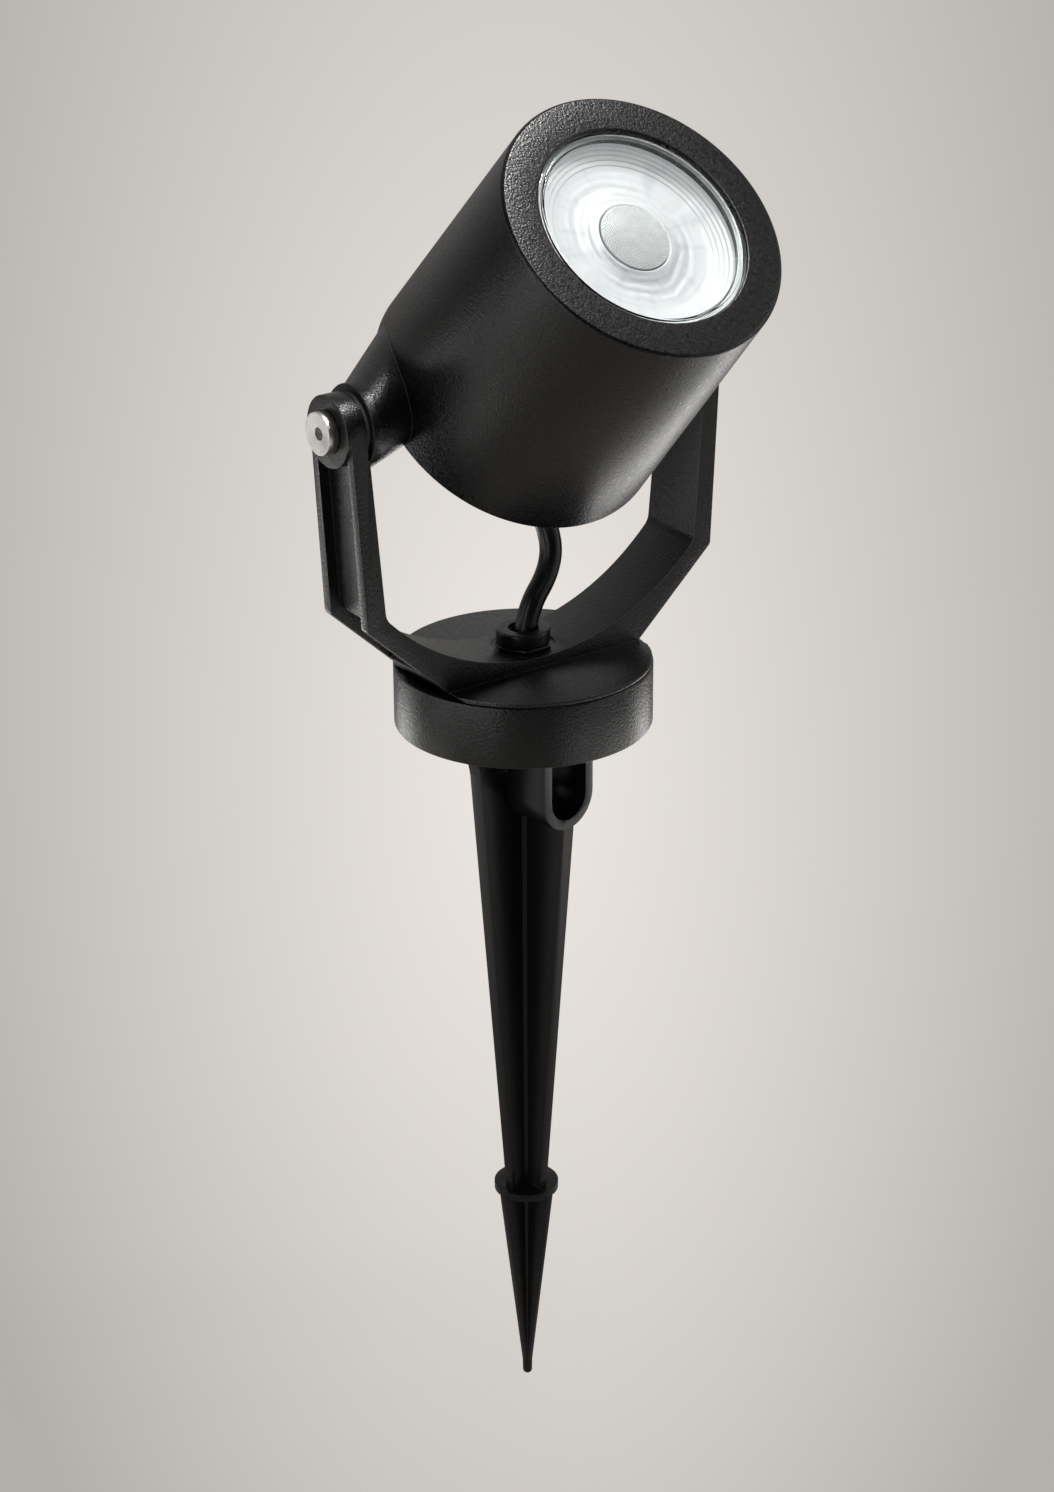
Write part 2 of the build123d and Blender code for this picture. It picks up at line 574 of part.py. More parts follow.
foot_gland_seal = tube(FOOT_BARREL_R - PART_FIT, SEAL_BORE_R, foot_seal_z, foot_seal_top)

# ================================================================ head, built upright and then leaned
lean = Pos(0, 0, PIVOT_Z) * Rot(TILT, 0, 0)
groove_out_r = SKIRT_R + SCREW_FIT
groove_z = RING_Z - SKIRT_LENGTH - PART_FIT
shelf_z = SHELF_Z - SHELF_T
ledge_top = REAR_LEDGE_Z + REAR_LEDGE_T
housing_outline = [
    (REAR_MOUTH_R, HEAD_REAR),
    (REAR_MOUTH_R, REAR_LEDGE_Z),
    (REAR_LEDGE_R, REAR_LEDGE_Z),
    (REAR_LEDGE_R, ledge_top),
    (outer_r(ledge_top) - HEAD_WALL, ledge_top),
    (outer_r(shelf_z) - HEAD_WALL, shelf_z),
    (SHELF_R, shelf_z),
    (SHELF_R, SHELF_Z),
    (NECK_IN_R, SHELF_Z),
    (NECK_IN_R, REFLECTOR_Z),
    (GROOVE_IN_R, REFLECTOR_Z),
    (GROOVE_IN_R, groove_z),
    (groove_out_r, groove_z),
    (groove_out_r, RING_Z),
    (outer_r(RING_Z), RING_Z),
    (HEAD_REAR_R, HEAD_REAR + REAR_CHAMFER),
    (HEAD_REAR_R - REAR_CHAMFER, HEAD_REAR),
]
housing = turned(housing_outline)
lug_root = Pos(0, LUG_ROOT_Y, LUG_ROOT_X) * Ellipse(LUG_ROOT_HALF_Z, LUG_ROOT_HALF_Y)
lug_neck = Pos(0, 0, LUG_FACE_X - LUG_STRAIGHT) * Circle(LUG_R)
lug = loft([lug_root, lug_neck]) + rod(LUG_R, LUG_FACE_X - LUG_STRAIGHT, LUG_FACE_X)
lug = along_x(lug, 1)
lug_limit = Pos(0, 0, HEAD_REAR) * Box(200, 200, 200, align=ON_BASE)
lug = lug & lug_limit
lug -= turned([(0, HEAD_REAR - 1), (outer_r(0) - 1, HEAD_REAR - 1), (outer_r(60) - 1, 60), (0, 60)])
housing += mirrored_pair(lug)
pivot_hole = along_x(rod(PIVOT_R, LUG_FACE_X - PIVOT_DEPTH - HOLE_ROOM, LUG_FACE_X + 1), 1)
housing -= mirrored_pair(pivot_hole)
screw_tip = COVER_Z + COVER_SCREW_LENGTH
ledge_hole = rod(COVER_SCREW_R + SCREW_FIT, REAR_LEDGE_Z - 1, screw_tip + HOLE_ROOM)
housing -= round_pattern(ledge_hole, COVER_SCREW_CIRCLE_R, COVER_SCREW_N, 45)
head_housing = lean * housing

ring_outline = [
    (RING_OPENING_R, RING_LIP_Z),
    (SKIRT_R - SKIRT_WALL, RING_LIP_Z),
    (SKIRT_R - SKIRT_WALL, RING_Z - SKIRT_LENGTH),
    (SKIRT_R, RING_Z - SKIRT_LENGTH),
    (SKIRT_R, RING_Z),
    (outer_r(RING_Z), RING_Z),
    (outer_r(HEAD_FRONT - RING_EDGE), HEAD_FRONT - RING_EDGE),
    (HEAD_FRONT_R - RING_EDGE, HEAD_FRONT),
    (RING_OPENING_R + OPENING_EDGE, HEAD_FRONT),
    (RING_OPENING_R, HEAD_FRONT - OPENING_EDGE),
]
front_ring = lean * turned(ring_outline)
glass_gasket = lean * tube(GLASS_R, RING_OPENING_R + FACE_GAP, GLASS_FLANGE_TOP, RING_LIP_Z)
glass_face = HEAD_FRONT - GLASS_SET_BACK
glass_outline = [
    (0, GLASS_Z),
    (GLASS_R, GLASS_Z),
    (GLASS_R, GLASS_FLANGE_TOP),
    (GLASS_STEP_R, GLASS_FLANGE_TOP),
    (GLASS_STEP_R, glass_face - GLASS_EDGE),
    (GLASS_STEP_R - GLASS_EDGE, glass_face),
    (0, glass_face),
]
front_glass = lean * turned(glass_outline)

# reflector: flat flange, small lip and a shallow dish round the centre lens
dish_top = GLASS_Z - REFLECTOR_LIP
dish_low = dish_top - REFLECTOR_DISH
dish_mid_r = 0.5 * (REFLECTOR_RIM_R + REFLECTOR_HOLE_R)
dish_mid = dish_low + 0.28 * REFLECTOR_DISH
spigot_r = NECK_IN_R - PART_FIT
reflector_edges = Polyline(
    (REFLECTOR_HOLE_R, dish_low),
    (REFLECTOR_HOLE_R, dish_low - REFLECTOR_T),
    (dish_mid_r, dish_mid - REFLECTOR_T),
    (REFLECTOR_RIM_R, dish_top - REFLECTOR_T),
    (spigot_r, dish_top - REFLECTOR_T),
    (spigot_r, REFLECTOR_Z),
    (GLASS_R, REFLECTOR_Z),
    (GLASS_R, GLASS_Z),
    (REFLECTOR_RIM_R + REFLECTOR_LIP, GLASS_Z),
    (REFLECTOR_RIM_R, dish_top),
)
dish = ThreePointArc((REFLECTOR_RIM_R, dish_top), (dish_mid_r, dish_mid), (REFLECTOR_HOLE_R, dish_low))
reflector = lean * revolve(make_face(Plane.XZ * (reflector_edges + dish)), Axis.Z)

optic_top = GLASS_Z - OPTIC_UNDER_GLASS
optic_edge = optic_top - OPTIC_CROWN
optic_lines = Polyline(
    (OPTIC_R, optic_edge),
    (OPTIC_R, optic_edge - OPTIC_SIDE),
    (OPTIC_BASE_R, BOARD_TOP),
    (CHIP_R + PART_FIT, BOARD_TOP),
    (CHIP_R + PART_FIT, BOARD_TOP + CHIP_H + PART_FIT),
    (0, BOARD_TOP + CHIP_H + PART_FIT),
    (0, optic_top),
)
dome_r = (OPTIC_R**2 + OPTIC_CROWN**2) / (2 * OPTIC_CROWN)
dome_half_drop = dome_r - math.sqrt(dome_r**2 - (OPTIC_R / 2) ** 2)
dome = ThreePointArc((0, optic_top), (OPTIC_R / 2, optic_top - dome_half_drop), (OPTIC_R, optic_edge))
led_optic = lean * revolve(make_face(Plane.XZ * (optic_lines + dome)), Axis.Z)
holder_top = dish_low - REFLECTOR_T
optic_holder = lean * tube(HOLDER_R, OPTIC_R + PART_FIT, BOARD_TOP, holder_top)
led_chip = lean * rod(CHIP_R, BOARD_TOP, BOARD_TOP + CHIP_H)
led_board = lean * rod(BOARD_R, SINK_POST_TOP, BOARD_TOP)
sink_plate = rod(NECK_IN_R - PART_FIT, SHELF_Z, SHELF_Z + SINK_PLATE_T)
heat_sink = lean * (sink_plate + rod(SINK_POST_R, SHELF_Z, SINK_POST_TOP))
driver_box = Box(DRIVER_L, DRIVER_W, DRIVER_H, align=(Align.CENTER, Align.CENTER, Align.MAX))
driver = lean * Pos(0, 0, SHELF_Z) * fillet(driver_box.edges().filter_by(Axis.Z), DRIVER_CORNER)

# ================================================================ rear cover and its gland
cover_r = REAR_MOUTH_R - PART_FIT
gland_place = Pos(0, REAR_GLAND_Y, 0)
cover_hole = rod(COVER_SCREW_R + PART_FIT, COVER_Z - 1, REAR_LEDGE_Z + 1)
cover = rod(cover_r, COVER_Z, COVER_TOP)
cover -= round_pattern(cover_hole, COVER_SCREW_CIRCLE_R, COVER_SCREW_N, 45)
cover -= gland_place * rod(REAR_THREAD_R + SCREW_FIT, COVER_Z - 1, COVER_TOP + 1)
rear_cover = lean * cover
gasket_ring = tube(cover_r, REAR_LEDGE_R, COVER_TOP, REAR_LEDGE_Z)
gasket_ring -= round_pattern(cover_hole, COVER_SCREW_CIRCLE_R, COVER_SCREW_N, 45)
rear_gasket = lean * gasket_ring
cover_screw = rod(COVER_SCREW_HEAD_R, COVER_Z - COVER_SCREW_HEAD_H, COVER_Z)
cover_screw += rod(COVER_SCREW_R, COVER_Z, screw_tip)
rear_screws = [lean * s for s in round_pattern(cover_screw, COVER_SCREW_CIRCLE_R, COVER_SCREW_N, 45)]

rear_hex_z = COVER_Z - REAR_HEX_H
rear_cap_z = rear_hex_z - REAR_CAP_H
rear_seal_z = rear_cap_z + REAR_CAP_LIP
rear_seal_top = rear_seal_z + REAR_SEAL_T
gland = hex_bar(REAR_HEX_AF, rear_hex_z, COVER_Z)
gland += rod(REAR_BARREL_R, rear_seal_top, rear_hex_z)
gland += rod(REAR_THREAD_R, COVER_Z, COVER_TOP + REAR_NUT_H)
gland -= rod(SEAL_BORE_R, rear_seal_top - 1, COVER_TOP + REAR_NUT_H + 1)
rear_gland_body = lean * gland_place * gland
nut = hex_bar(REAR_HEX_AF, COVER_TOP, COVER_TOP + REAR_NUT_H)
nut -= rod(REAR_THREAD_R + SCREW_FIT, COVER_TOP - 1, COVER_TOP + REAR_NUT_H + 1)
rear_gland_nut = lean * gland_place * nut
cap = rod(REAR_CAP_R, rear_cap_z, rear_hex_z)
cap -= rod(REAR_BARREL_R + SCREW_FIT, rear_seal_z, rear_hex_z + 1)
cap -= rod(REAR_CAP_HOLE_R, rear_cap_z - 1, rear_hex_z)
rear_gland_cap = lean * gland_place * cap
rear_gland_seal = lean * gland_place * tube(REAR_BARREL_R, SEAL_BORE_R, rear_seal_z, rear_seal_top)

# ================================================================ pivot screws and washers
washer_out_x = EAR_INNER_X - SCREW_FIT
washer = along_x(tube(PIVOT_WASHER_R, PIVOT_R + SCREW_FIT, LUG_FACE_X, washer_out_x), 1)
pivot_washers = [lean * s for s in mirrored_pair(washer)]
pivot_head_x = EAR_PAD_X + FACE_GAP
pivot_face_x = pivot_head_x + PIVOT_HEAD_H
pivot_outline = [
    (0, LUG_FACE_X - PIVOT_DEPTH),
    (PIVOT_R, LUG_FACE_X - PIVOT_DEPTH),
    (PIVOT_R, pivot_head_x),
    (PIVOT_HEAD_R, pivot_head_x),
    (PIVOT_HEAD_R, pivot_face_x - PIVOT_HEAD_EDGE),
    (PIVOT_HEAD_R - PIVOT_HEAD_EDGE, pivot_face_x),
    (PIVOT_CONE_R, pivot_face_x),
    (0, pivot_face_x - PIVOT_CONE_DEPTH),
]
pivot_screw = turned(pivot_outline)
pivot_screw -= hex_bar(PIVOT_SOCKET_AF, pivot_face_x - PIVOT_SOCKET_DEPTH, pivot_face_x + 1)
pivot_screws = [lean * s for s in mirrored_pair(along_x(pivot_screw, 1))]

# ================================================================ lead from the yoke's foot to the head
LEAD_START = (0, REAR_GLAND_Y, 0)         # in the head's frame, inside the gland
LEAD_STRAIGHT = (0, REAR_GLAND_Y, -17.0)  # in the head's frame, just outside the gland
LEAD_MIDDLE = [(7.5, 11.5, 86.0), (17.0, 9.5, 69.5), (17.0, 4.5, 53.5)]
LEAD_ENTRY = (0.1, 0.0, FOOT_CAP_TOP + 3.7)
LEAD_END = (0.0, 0.0, FOOT_Z - 0.8)
first = (lean * Pos(*LEAD_START)).position
second = (lean * Pos(*LEAD_STRAIGHT)).position
lead_points = [first, second] + [Vector(*p) for p in LEAD_MIDDLE + [LEAD_ENTRY, LEAD_END]]
lead_radii = []
for before, here, after in zip(lead_points, lead_points[1:], lead_points[2:]):
    run_in = here - before
    run_out = after - here
    half_turn = math.radians(run_in.get_angle(run_out)) / 2
    lead_radii.append(0.45 * min(run_in.length, run_out.length) / math.tan(half_turn))
lead_path = FilletPolyline(*lead_points, radius=lead_radii)
lead_section = Plane(origin=lead_path @ 0, z_dir=lead_path % 0) * Circle(LEAD_R)
head_cable = sweep(lead_section, path=lead_path)
lead_volume = math.pi * LEAD_R**2 * lead_path.length
print("lead length", round(lead_path.length, 1), "radii", [round(r, 1) for r in lead_radii])
print("lead volume over section times length", round(head_cable.volume / lead_volume, 4))

# ================================================================ files
nodes = {
    "ground_spike": ground_spike,
    "spike_screws": spike_screws,
    "base_gasket": base_gasket,
    "base_drum": base_drum,
    "inlet_gland_body": inlet_gland_body,
    "inlet_gland_nut": inlet_gland_nut,
    "inlet_seal": inlet_seal,
    "terminal_block": terminal_block,
    "terminal_screws": terminal_screws,
    "earth_screw": earth_screw,
    "swivel_bush": swivel_bush,
    "yoke": yoke,
    "swivel_nipple": swivel_nipple,
    "swivel_nut": swivel_nut,
    "friction_washer": friction_washer,
    "swivel_seal": swivel_seal,
    "foot_gland_body": foot_gland_body,
    "foot_gland_cap": foot_gland_cap,
    "foot_gland_seal": foot_gland_seal,
    "ear_bushes": ear_bushes,
    "head_cable": head_cable,
    "head_housing": head_housing,
    "front_ring": front_ring,
    "glass_gasket": glass_gasket,
    "front_glass": front_glass,
    "reflector": reflector,
    "led_optic": led_optic,
    "optic_holder": optic_holder,
    "led_chip": led_chip,
    "led_board": led_board,
    "heat_sink": heat_sink,
    "driver": driver,
    "rear_cover": rear_cover,
    "rear_gasket": rear_gasket,
    "rear_screws": rear_screws,
    "rear_gland_body": rear_gland_body,
    "rear_gland_nut": rear_gland_nut,
    "rear_gland_cap": rear_gland_cap,
    "rear_gland_seal": rear_gland_seal,
    "pivot_screws": pivot_screws,
    "pivot_washers": pivot_washers,
}
os.makedirs("parts", exist_ok=True)
for name, shape in nodes.items():
    if isinstance(shape, list):
        shape = Compound([s.solid() for s in shape])
    export_step(shape, f"parts/{name}.step")
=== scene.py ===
"""Garden spike spotlight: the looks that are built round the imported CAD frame."""

import json
import logging
import math
from collections.abc import Callable, Sequence
from dataclasses import dataclass, field
from enum import Enum

import bmesh
import bpy
from mathutils import Matrix, Vector

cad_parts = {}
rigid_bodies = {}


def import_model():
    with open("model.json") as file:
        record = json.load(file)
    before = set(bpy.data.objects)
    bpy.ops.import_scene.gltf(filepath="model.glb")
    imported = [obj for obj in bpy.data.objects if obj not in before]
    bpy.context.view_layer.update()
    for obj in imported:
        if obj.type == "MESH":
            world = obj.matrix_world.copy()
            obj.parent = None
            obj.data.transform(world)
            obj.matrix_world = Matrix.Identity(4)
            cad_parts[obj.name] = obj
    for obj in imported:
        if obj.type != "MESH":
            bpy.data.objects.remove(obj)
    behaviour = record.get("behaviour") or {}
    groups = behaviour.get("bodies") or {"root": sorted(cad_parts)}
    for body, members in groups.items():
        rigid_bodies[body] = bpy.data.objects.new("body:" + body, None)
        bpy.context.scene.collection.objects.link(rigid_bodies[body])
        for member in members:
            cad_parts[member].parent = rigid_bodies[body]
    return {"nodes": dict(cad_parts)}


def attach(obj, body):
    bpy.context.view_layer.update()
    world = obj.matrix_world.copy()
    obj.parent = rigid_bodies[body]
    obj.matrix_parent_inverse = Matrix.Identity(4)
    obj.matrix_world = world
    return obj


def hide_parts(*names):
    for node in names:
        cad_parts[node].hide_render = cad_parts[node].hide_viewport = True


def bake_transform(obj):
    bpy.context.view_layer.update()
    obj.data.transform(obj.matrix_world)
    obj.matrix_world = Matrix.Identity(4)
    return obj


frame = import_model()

LOG = logging.getLogger("spotlight")
MM = 0.001
PIVOT_Z = 121.5
TILT = 43.5
HEAD_PLACE = Matrix.Translation((0, 0, PIVOT_Z * MM)) @ Matrix.Rotation(math.radians(TILT), 4, "X")
UPRIGHT = Matrix.Identity(4)
SHARP_ANGLE = math.radians(32)
EASED_SHARP_ANGLE = math.radians(30)
FLAT_ANGLE = math.radians(0.4)
MERGE_REACH = 0.000004
SHORTEST_EDGE = 0.000002
ON_AXIS = 1e-6
Profile = Sequence[tuple[float, float]]


class Body(Enum):
    """The rigid bodies of the lamp."""

    BASE = "base"
    YOKE = "yoke"
    HEAD = "head"


class Slot(Enum):
    """Material slots of the record."""

    POWDER_COAT = "powder_coat"
    SPIKE = "spike_plastic"
    GLAND = "gland_plastic"
    RUBBER = "rubber"
    LEAD = "lead_rubber"
    STAINLESS = "stainless"
    WASHER = "washer_plastic"
    TERMINAL = "terminal_plastic"
    GLASS = "clear_glass"
    REFLECTOR = "reflector_satin"
    OPTIC = "optic_clear"
    PHOSPHOR = "led_phosphor"
    BOARD = "board_white"
    CASTING = "cast_aluminium"


# ------------------------------------------------------------------ shader graphs


class Wiring:
    """Adds, links and feeds the nodes of one tree."""

    def __init__(self, tree: bpy.types.NodeTree) -> None:
        """Take the tree to fill."""
        self.tree = tree

    def add(self, kind: str, **settings: object) -> bpy.types.Node:
        """Add a node.

        Args:
            kind: the node's type name.
            settings: attributes to set on it.

        Returns:
            The new node.
        """
        node = self.tree.nodes.new(kind)
        for key, value in settings.items():
            setattr(node, key, value)
        return node

    def wire(self, source: bpy.types.NodeSocket, target: bpy.types.NodeSocket) -> None:
        """Link two sockets."""
        self.tree.links.new(source, target)

    def feed(self, socket: bpy.types.NodeSocket, value: object) -> None:
        """Link a socket to a source, or set it to a plain value."""
        if isinstance(value, bpy.types.NodeSocket):
            self.wire(value, socket)
        else:
            socket.default_value = value

    def math(self, operation: str, first: object, second: object = 0.0) -> bpy.types.NodeSocket:
        """Combine two numbers.

        Args:
            operation: the math node's operation.
            first: a socket or a number.
            second: a socket or a number.

        Returns:
            The result's socket.
        """
        node = self.add("ShaderNodeMath", operation=operation)
        self.feed(node.inputs[0], first)
        self.feed(node.inputs[1], second)
        return node.outputs[0]

    def plus(self, first: object, second: object) -> bpy.types.NodeSocket:
        """Sum of two sockets or numbers."""
        return self.math("ADD", first, second)

    def minus(self, first: object, second: object) -> bpy.types.NodeSocket:
        """Difference of two sockets or numbers."""
        return self.math("SUBTRACT", first, second)

    def times(self, first: object, second: object) -> bpy.types.NodeSocket:
        """Product of two sockets or numbers."""
        return self.math("MULTIPLY", first, second)

    def over(self, first: object, second: object) -> bpy.types.NodeSocket:
        """Quotient of two sockets or numbers."""
        return self.math("DIVIDE", first, second)

    def distance(self, first: object, second: object) -> bpy.types.NodeSocket:
        """Length of the vector that two coordinates make."""
        squares = self.plus(self.math("POWER", first, 2.0), self.math("POWER", second, 2.0))
        return self.math("SQRT", squares)


class Graph(Wiring):
    """The nodes of one material."""

    def __init__(self, name: str) -> None:
        """Start an empty material.

        Args:
            name: the material's name.
        """
        self.material = bpy.data.materials.new(name)
        self.material.use_nodes = True
        super().__init__(self.material.node_tree)
        self.tree.nodes.clear()
        self.output = self.add("ShaderNodeOutputMaterial")
        self.coords = self.add("ShaderNodeTexCoord")

    def remap(
        self, value: object, low: float, high: float, out_low: float, out_high: float
    ) -> bpy.types.NodeSocket:
        """Stretch a range of values onto another, clamped.

        Args:
            value: the source socket.
            low: lower end of the source range.
            high: upper end of the source range.
            out_low: result at the lower end.
            out_high: result at the upper end.

        Returns:
            The result's socket.
        """
        node = self.add("ShaderNodeMapRange")
        for socket, number in zip(node.inputs, (value, low, high, out_low, out_high)):
            self.feed(socket, number)
        return node.outputs[0]

    def noise(
        self, scale: float, detail: float = 2.0, rough: float = 0.5, stretch: Vector | None = None
    ) -> bpy.types.NodeSocket:
        """Noise over the object's own coordinates.

        Args:
            scale: grains per metre, roughly.
            detail: octaves.
            rough: weight of the finer octaves.
            stretch: scale of each axis before the noise is read.

        Returns:
            The noise value's socket.
        """
        node = self.add("ShaderNodeTexNoise")
        node.inputs["Scale"].default_value = scale
        node.inputs["Detail"].default_value = detail
        node.inputs["Roughness"].default_value = rough
        self.wire(self._placed(stretch), node.inputs["Vector"])
        return node.outputs["Fac"]

    def cells(self, scale: float, smooth: float = 0.6) -> bpy.types.NodeSocket:
        """Rounded cells over the object's own coordinates.

        Args:
            scale: cells per metre, roughly.
            smooth: how far neighbouring cells melt together.

        Returns:
            The socket of the distance to the nearest cell's centre.
        """
        node = self.add("ShaderNodeTexVoronoi", feature="SMOOTH_F1")
        node.inputs["Scale"].default_value = scale
        node.inputs["Smoothness"].default_value = smooth
        self.wire(self.coords.outputs["Object"], node.inputs["Vector"])
        return node.outputs["Distance"]

    def _placed(self, stretch: Vector | None) -> bpy.types.NodeSocket:
        """Object coordinates, stretched if asked.

        Args:
            stretch: scale along each axis, or None.

        Returns:
            The coordinates' socket.
        """
        if stretch is None:
            return self.coords.outputs["Object"]
        mapping = self.add("ShaderNodeMapping")
        mapping.inputs["Scale"].default_value = stretch
        self.wire(self.coords.outputs["Object"], mapping.inputs["Vector"])
        return mapping.outputs["Vector"]

    def bump(
        self,
        height: bpy.types.NodeSocket,
        distance: float,
        strength: float = 1.0,
        normal: bpy.types.NodeSocket | None = None,
    ) -> bpy.types.NodeSocket:
        """Turn a height into a shading normal.

        Args:
            height: the height's socket.
            distance: relief at height 1, in metres.
            strength: share of the relief.
            normal: normal of a coarser layer below.

        Returns:
            The normal's socket.
        """
        node = self.add("ShaderNodeBump")
        node.inputs["Strength"].default_value = strength
        node.inputs["Distance"].default_value = distance
        self.wire(height, node.inputs["Height"])
        if normal is not None:
            self.wire(normal, node.inputs["Normal"])
        return node.outputs["Normal"]

    def edge_mask(self, radius: float) -> bpy.types.NodeSocket:
        """Mask that is 1 along sharp edges and 0 on open faces.

        Args:
            radius: reach of the mask from an edge, in metres.

        Returns:
            The mask's socket.
        """
        # The finishes use this mask to paint a highlight along edges; the powder coat also lowers its
        # roughness there.
        rounded = self.add("ShaderNodeBevel", samples=4)
        rounded.inputs["Radius"].default_value = radius
        true_normal = self.add("ShaderNodeNewGeometry")
        dot = self.add("ShaderNodeVectorMath", operation="DOT_PRODUCT")
        self.wire(rounded.outputs["Normal"], dot.inputs[0])
        self.wire(true_normal.outputs["Normal"], dot.inputs[1])
        return self.remap(dot.outputs["Value"], 0.98, 0.80, 0.0, 1.0)

    def mix_colour(self, factor: object, first: object, second: object) -> bpy.types.NodeSocket:
        """Blend two colours.

        Args:
            factor: a socket or a number.
            first: a socket or an RGBA colour.
            second: a socket or an RGBA colour.

        Returns:
            The blended colour's socket.
        """
        node = self.add("ShaderNodeMix", data_type="RGBA")
        self.feed(node.inputs["Factor"], factor)
        self.feed(node.inputs["A"], first)
        self.feed(node.inputs["B"], second)
        return next(s for s in node.outputs if s.type == "RGBA")

    def principled(self, **inputs: object) -> bpy.types.Node:
        """Add the surface shader and join it to the output.

        Args:
            inputs: values or sockets, with underscores for spaces in the names.

        Returns:
            The shader node.
        """
        node = self.add("ShaderNodeBsdfPrincipled")
        for key, value in inputs.items():
            self.feed(node.inputs[key.replace("_", " ")], value)
        self.wire(node.outputs[0], self.output.inputs["Surface"])
        return node


def rgba(red: float, green: float, blue: float) -> tuple[float, float, float, float]:
    """An opaque linear colour."""
    return (red, green, blue, 1.0)


# ------------------------------------------------------------------ finishes


class Finish:
    """A surface finish: its name, its slot of the record and how it is painted."""

    name: str
    slot: Slot

    def paint(self, g: Graph) -> None:
        """Fill the graph with this finish."""
        raise NotImplementedError

    def material(self) -> bpy.types.Material:
        """Build the finish's material.

        Returns:
            The material.
        """
        g = Graph(self.name)
        self.paint(g)
        return g.material


@dataclass(frozen=True)
class PowderCoat(Finish):
    """Black leather-grained powder coat on cast metal."""

    name: str = "black_powder_coat"
    base: float = 0.0032
    roughness: float = 0.31
    grain_scale: float = 1250.0
    grain_relief: float = 0.00008
    sheen_level: float = 0.5
    slot: Slot = Slot.POWDER_COAT
    peel_scale: float = 240.0
    peel_relief: float = 0.00006
    speckle_scale: float = 2600.0
    blotch_scale: float = 700.0
    # Painted highlight along the edges: its pale colour, how far the edge mask reaches and how strongly the
    # highlight is mixed in.
    edge_highlight: tuple[float, float, float] = (0.13, 0.13, 0.132)
    edge_reach: float = 0.0005
    edge_highlight_share: float = 0.75

    def paint(self, g: Graph) -> None:
        """Coarse orange peel, leather grain, fine speckle, slightly polished edges, a painted highlight along
        the edges and grain crests painted lighter than the hollows.

        Args:
            g: the graph to fill.
        """
        peel = g.noise(self.peel_scale, 3.0, 0.55)
        grain = g.remap(g.cells(self.grain_scale, 0.7), 0.05, 0.85, 1.0, 0.0)
        speckle = g.noise(self.speckle_scale, 1.0, 0.5)
        height = g.plus(grain, g.times(speckle, 0.45))
        normal = g.bump(peel, self.peel_relief, 0.5)
        normal = g.bump(height, self.grain_relief, 0.85, normal)
        wear = g.edge_mask(self.edge_reach)
        # Tone follows the grain's height: painted highlight on the crests and painted shade in the hollows,
        # which makes the grain read.
        crest = g.remap(g.plus(grain, g.times(speckle, 0.5)), 0.75, 1.4, 0.0, 1.0)
        tone = g.mix_colour(
            crest,
            rgba(self.base * 0.4, self.base * 0.4, self.base * 0.42),
            rgba(self.base * 4.0, self.base * 4.0, self.base * 4.1),
        )
        # Painted highlight: the edges are lightened towards pale grey, standing in for light caught on
        # rounded edges; the lower roughness below is the edges' polish.
        tone = g.mix_colour(g.times(wear, self.edge_highlight_share), tone, rgba(*self.edge_highlight))
        rough = g.remap(
            g.noise(self.blotch_scale, 2.0), 0.3, 0.7, self.roughness - 0.05, self.roughness + 0.07
        )
        rough = g.minus(rough, g.times(wear, 0.08))
        g.principled(Base_Color=tone, Roughness=rough, Normal=normal, Specular_IOR_Level=self.sheen_level)


@dataclass(frozen=True)
class MouldedPlastic(Finish):
    """Injection-moulded plastic with a fine spark-eroded skin and faint flow marks."""

    name: str
    colour: tuple[float, float, float]
    roughness: float
    slot: Slot
    relief: float = 0.00003
    skin_scale: float = 2400.0
    shine: float = 0.5
    flow_scale: float = 45.0
    edge_reach: float = 0.0004

    def paint(self, g: Graph) -> None:
        """Paint the finish.

        Args:
            g: the graph to fill.
        """
        skin = g.noise(self.skin_scale, 2.0, 0.6)
        flow = g.noise(self.flow_scale, 2.0, 0.5, Vector((1.0, 1.0, 0.25)))
        normal = g.bump(skin, self.relief, 0.9)
        dark = rgba(*(c * 0.85 for c in self.colour))
        light = rgba(*(min(1.0, c * 1.12) for c in self.colour))
        wear = g.edge_mask(self.edge_reach)
        tone = g.mix_colour(g.remap(flow, 0.35, 0.65, 0.0, 1.0), dark, light)
        # Painted highlight: the edges are lightened along the edge mask.
        tone = g.mix_colour(g.times(wear, 0.3), tone, rgba(*(min(1.0, c * 1.3 + 0.03) for c in self.colour)))
        rough = g.remap(flow, 0.3, 0.7, self.roughness - 0.04, self.roughness + 0.05)
        g.principled(Base_Color=tone, Roughness=rough, Normal=normal, Specular_IOR_Level=self.shine)


@dataclass(frozen=True)
class Rubber(Finish):
    """Black rubber: matt, with a faint bloom."""

    name: str
    slot: Slot
    roughness: float = 0.55
    base: float = 0.018
    bloom_scale: float = 160.0
    skin_scale: float = 1500.0
    relief: float = 0.00004

    def paint(self, g: Graph) -> None:
        """Paint the finish.

        Args:
            g: the graph to fill.
        """
        bloom = g.noise(self.bloom_scale, 3.0, 0.6)
        skin = g.noise(self.skin_scale, 2.0, 0.6)
        normal = g.bump(skin, self.relief, 0.7)
        tone = g.mix_colour(
            g.remap(bloom, 0.4, 0.7, 0.0, 1.0),
            rgba(self.base, self.base, self.base),
            rgba(self.base * 1.5, self.base * 1.5, self.base * 1.45),
        )
        rough = g.remap(bloom, 0.3, 0.7, self.roughness - 0.07, self.roughness + 0.07)
        g.principled(Base_Color=tone, Roughness=rough, Normal=normal)


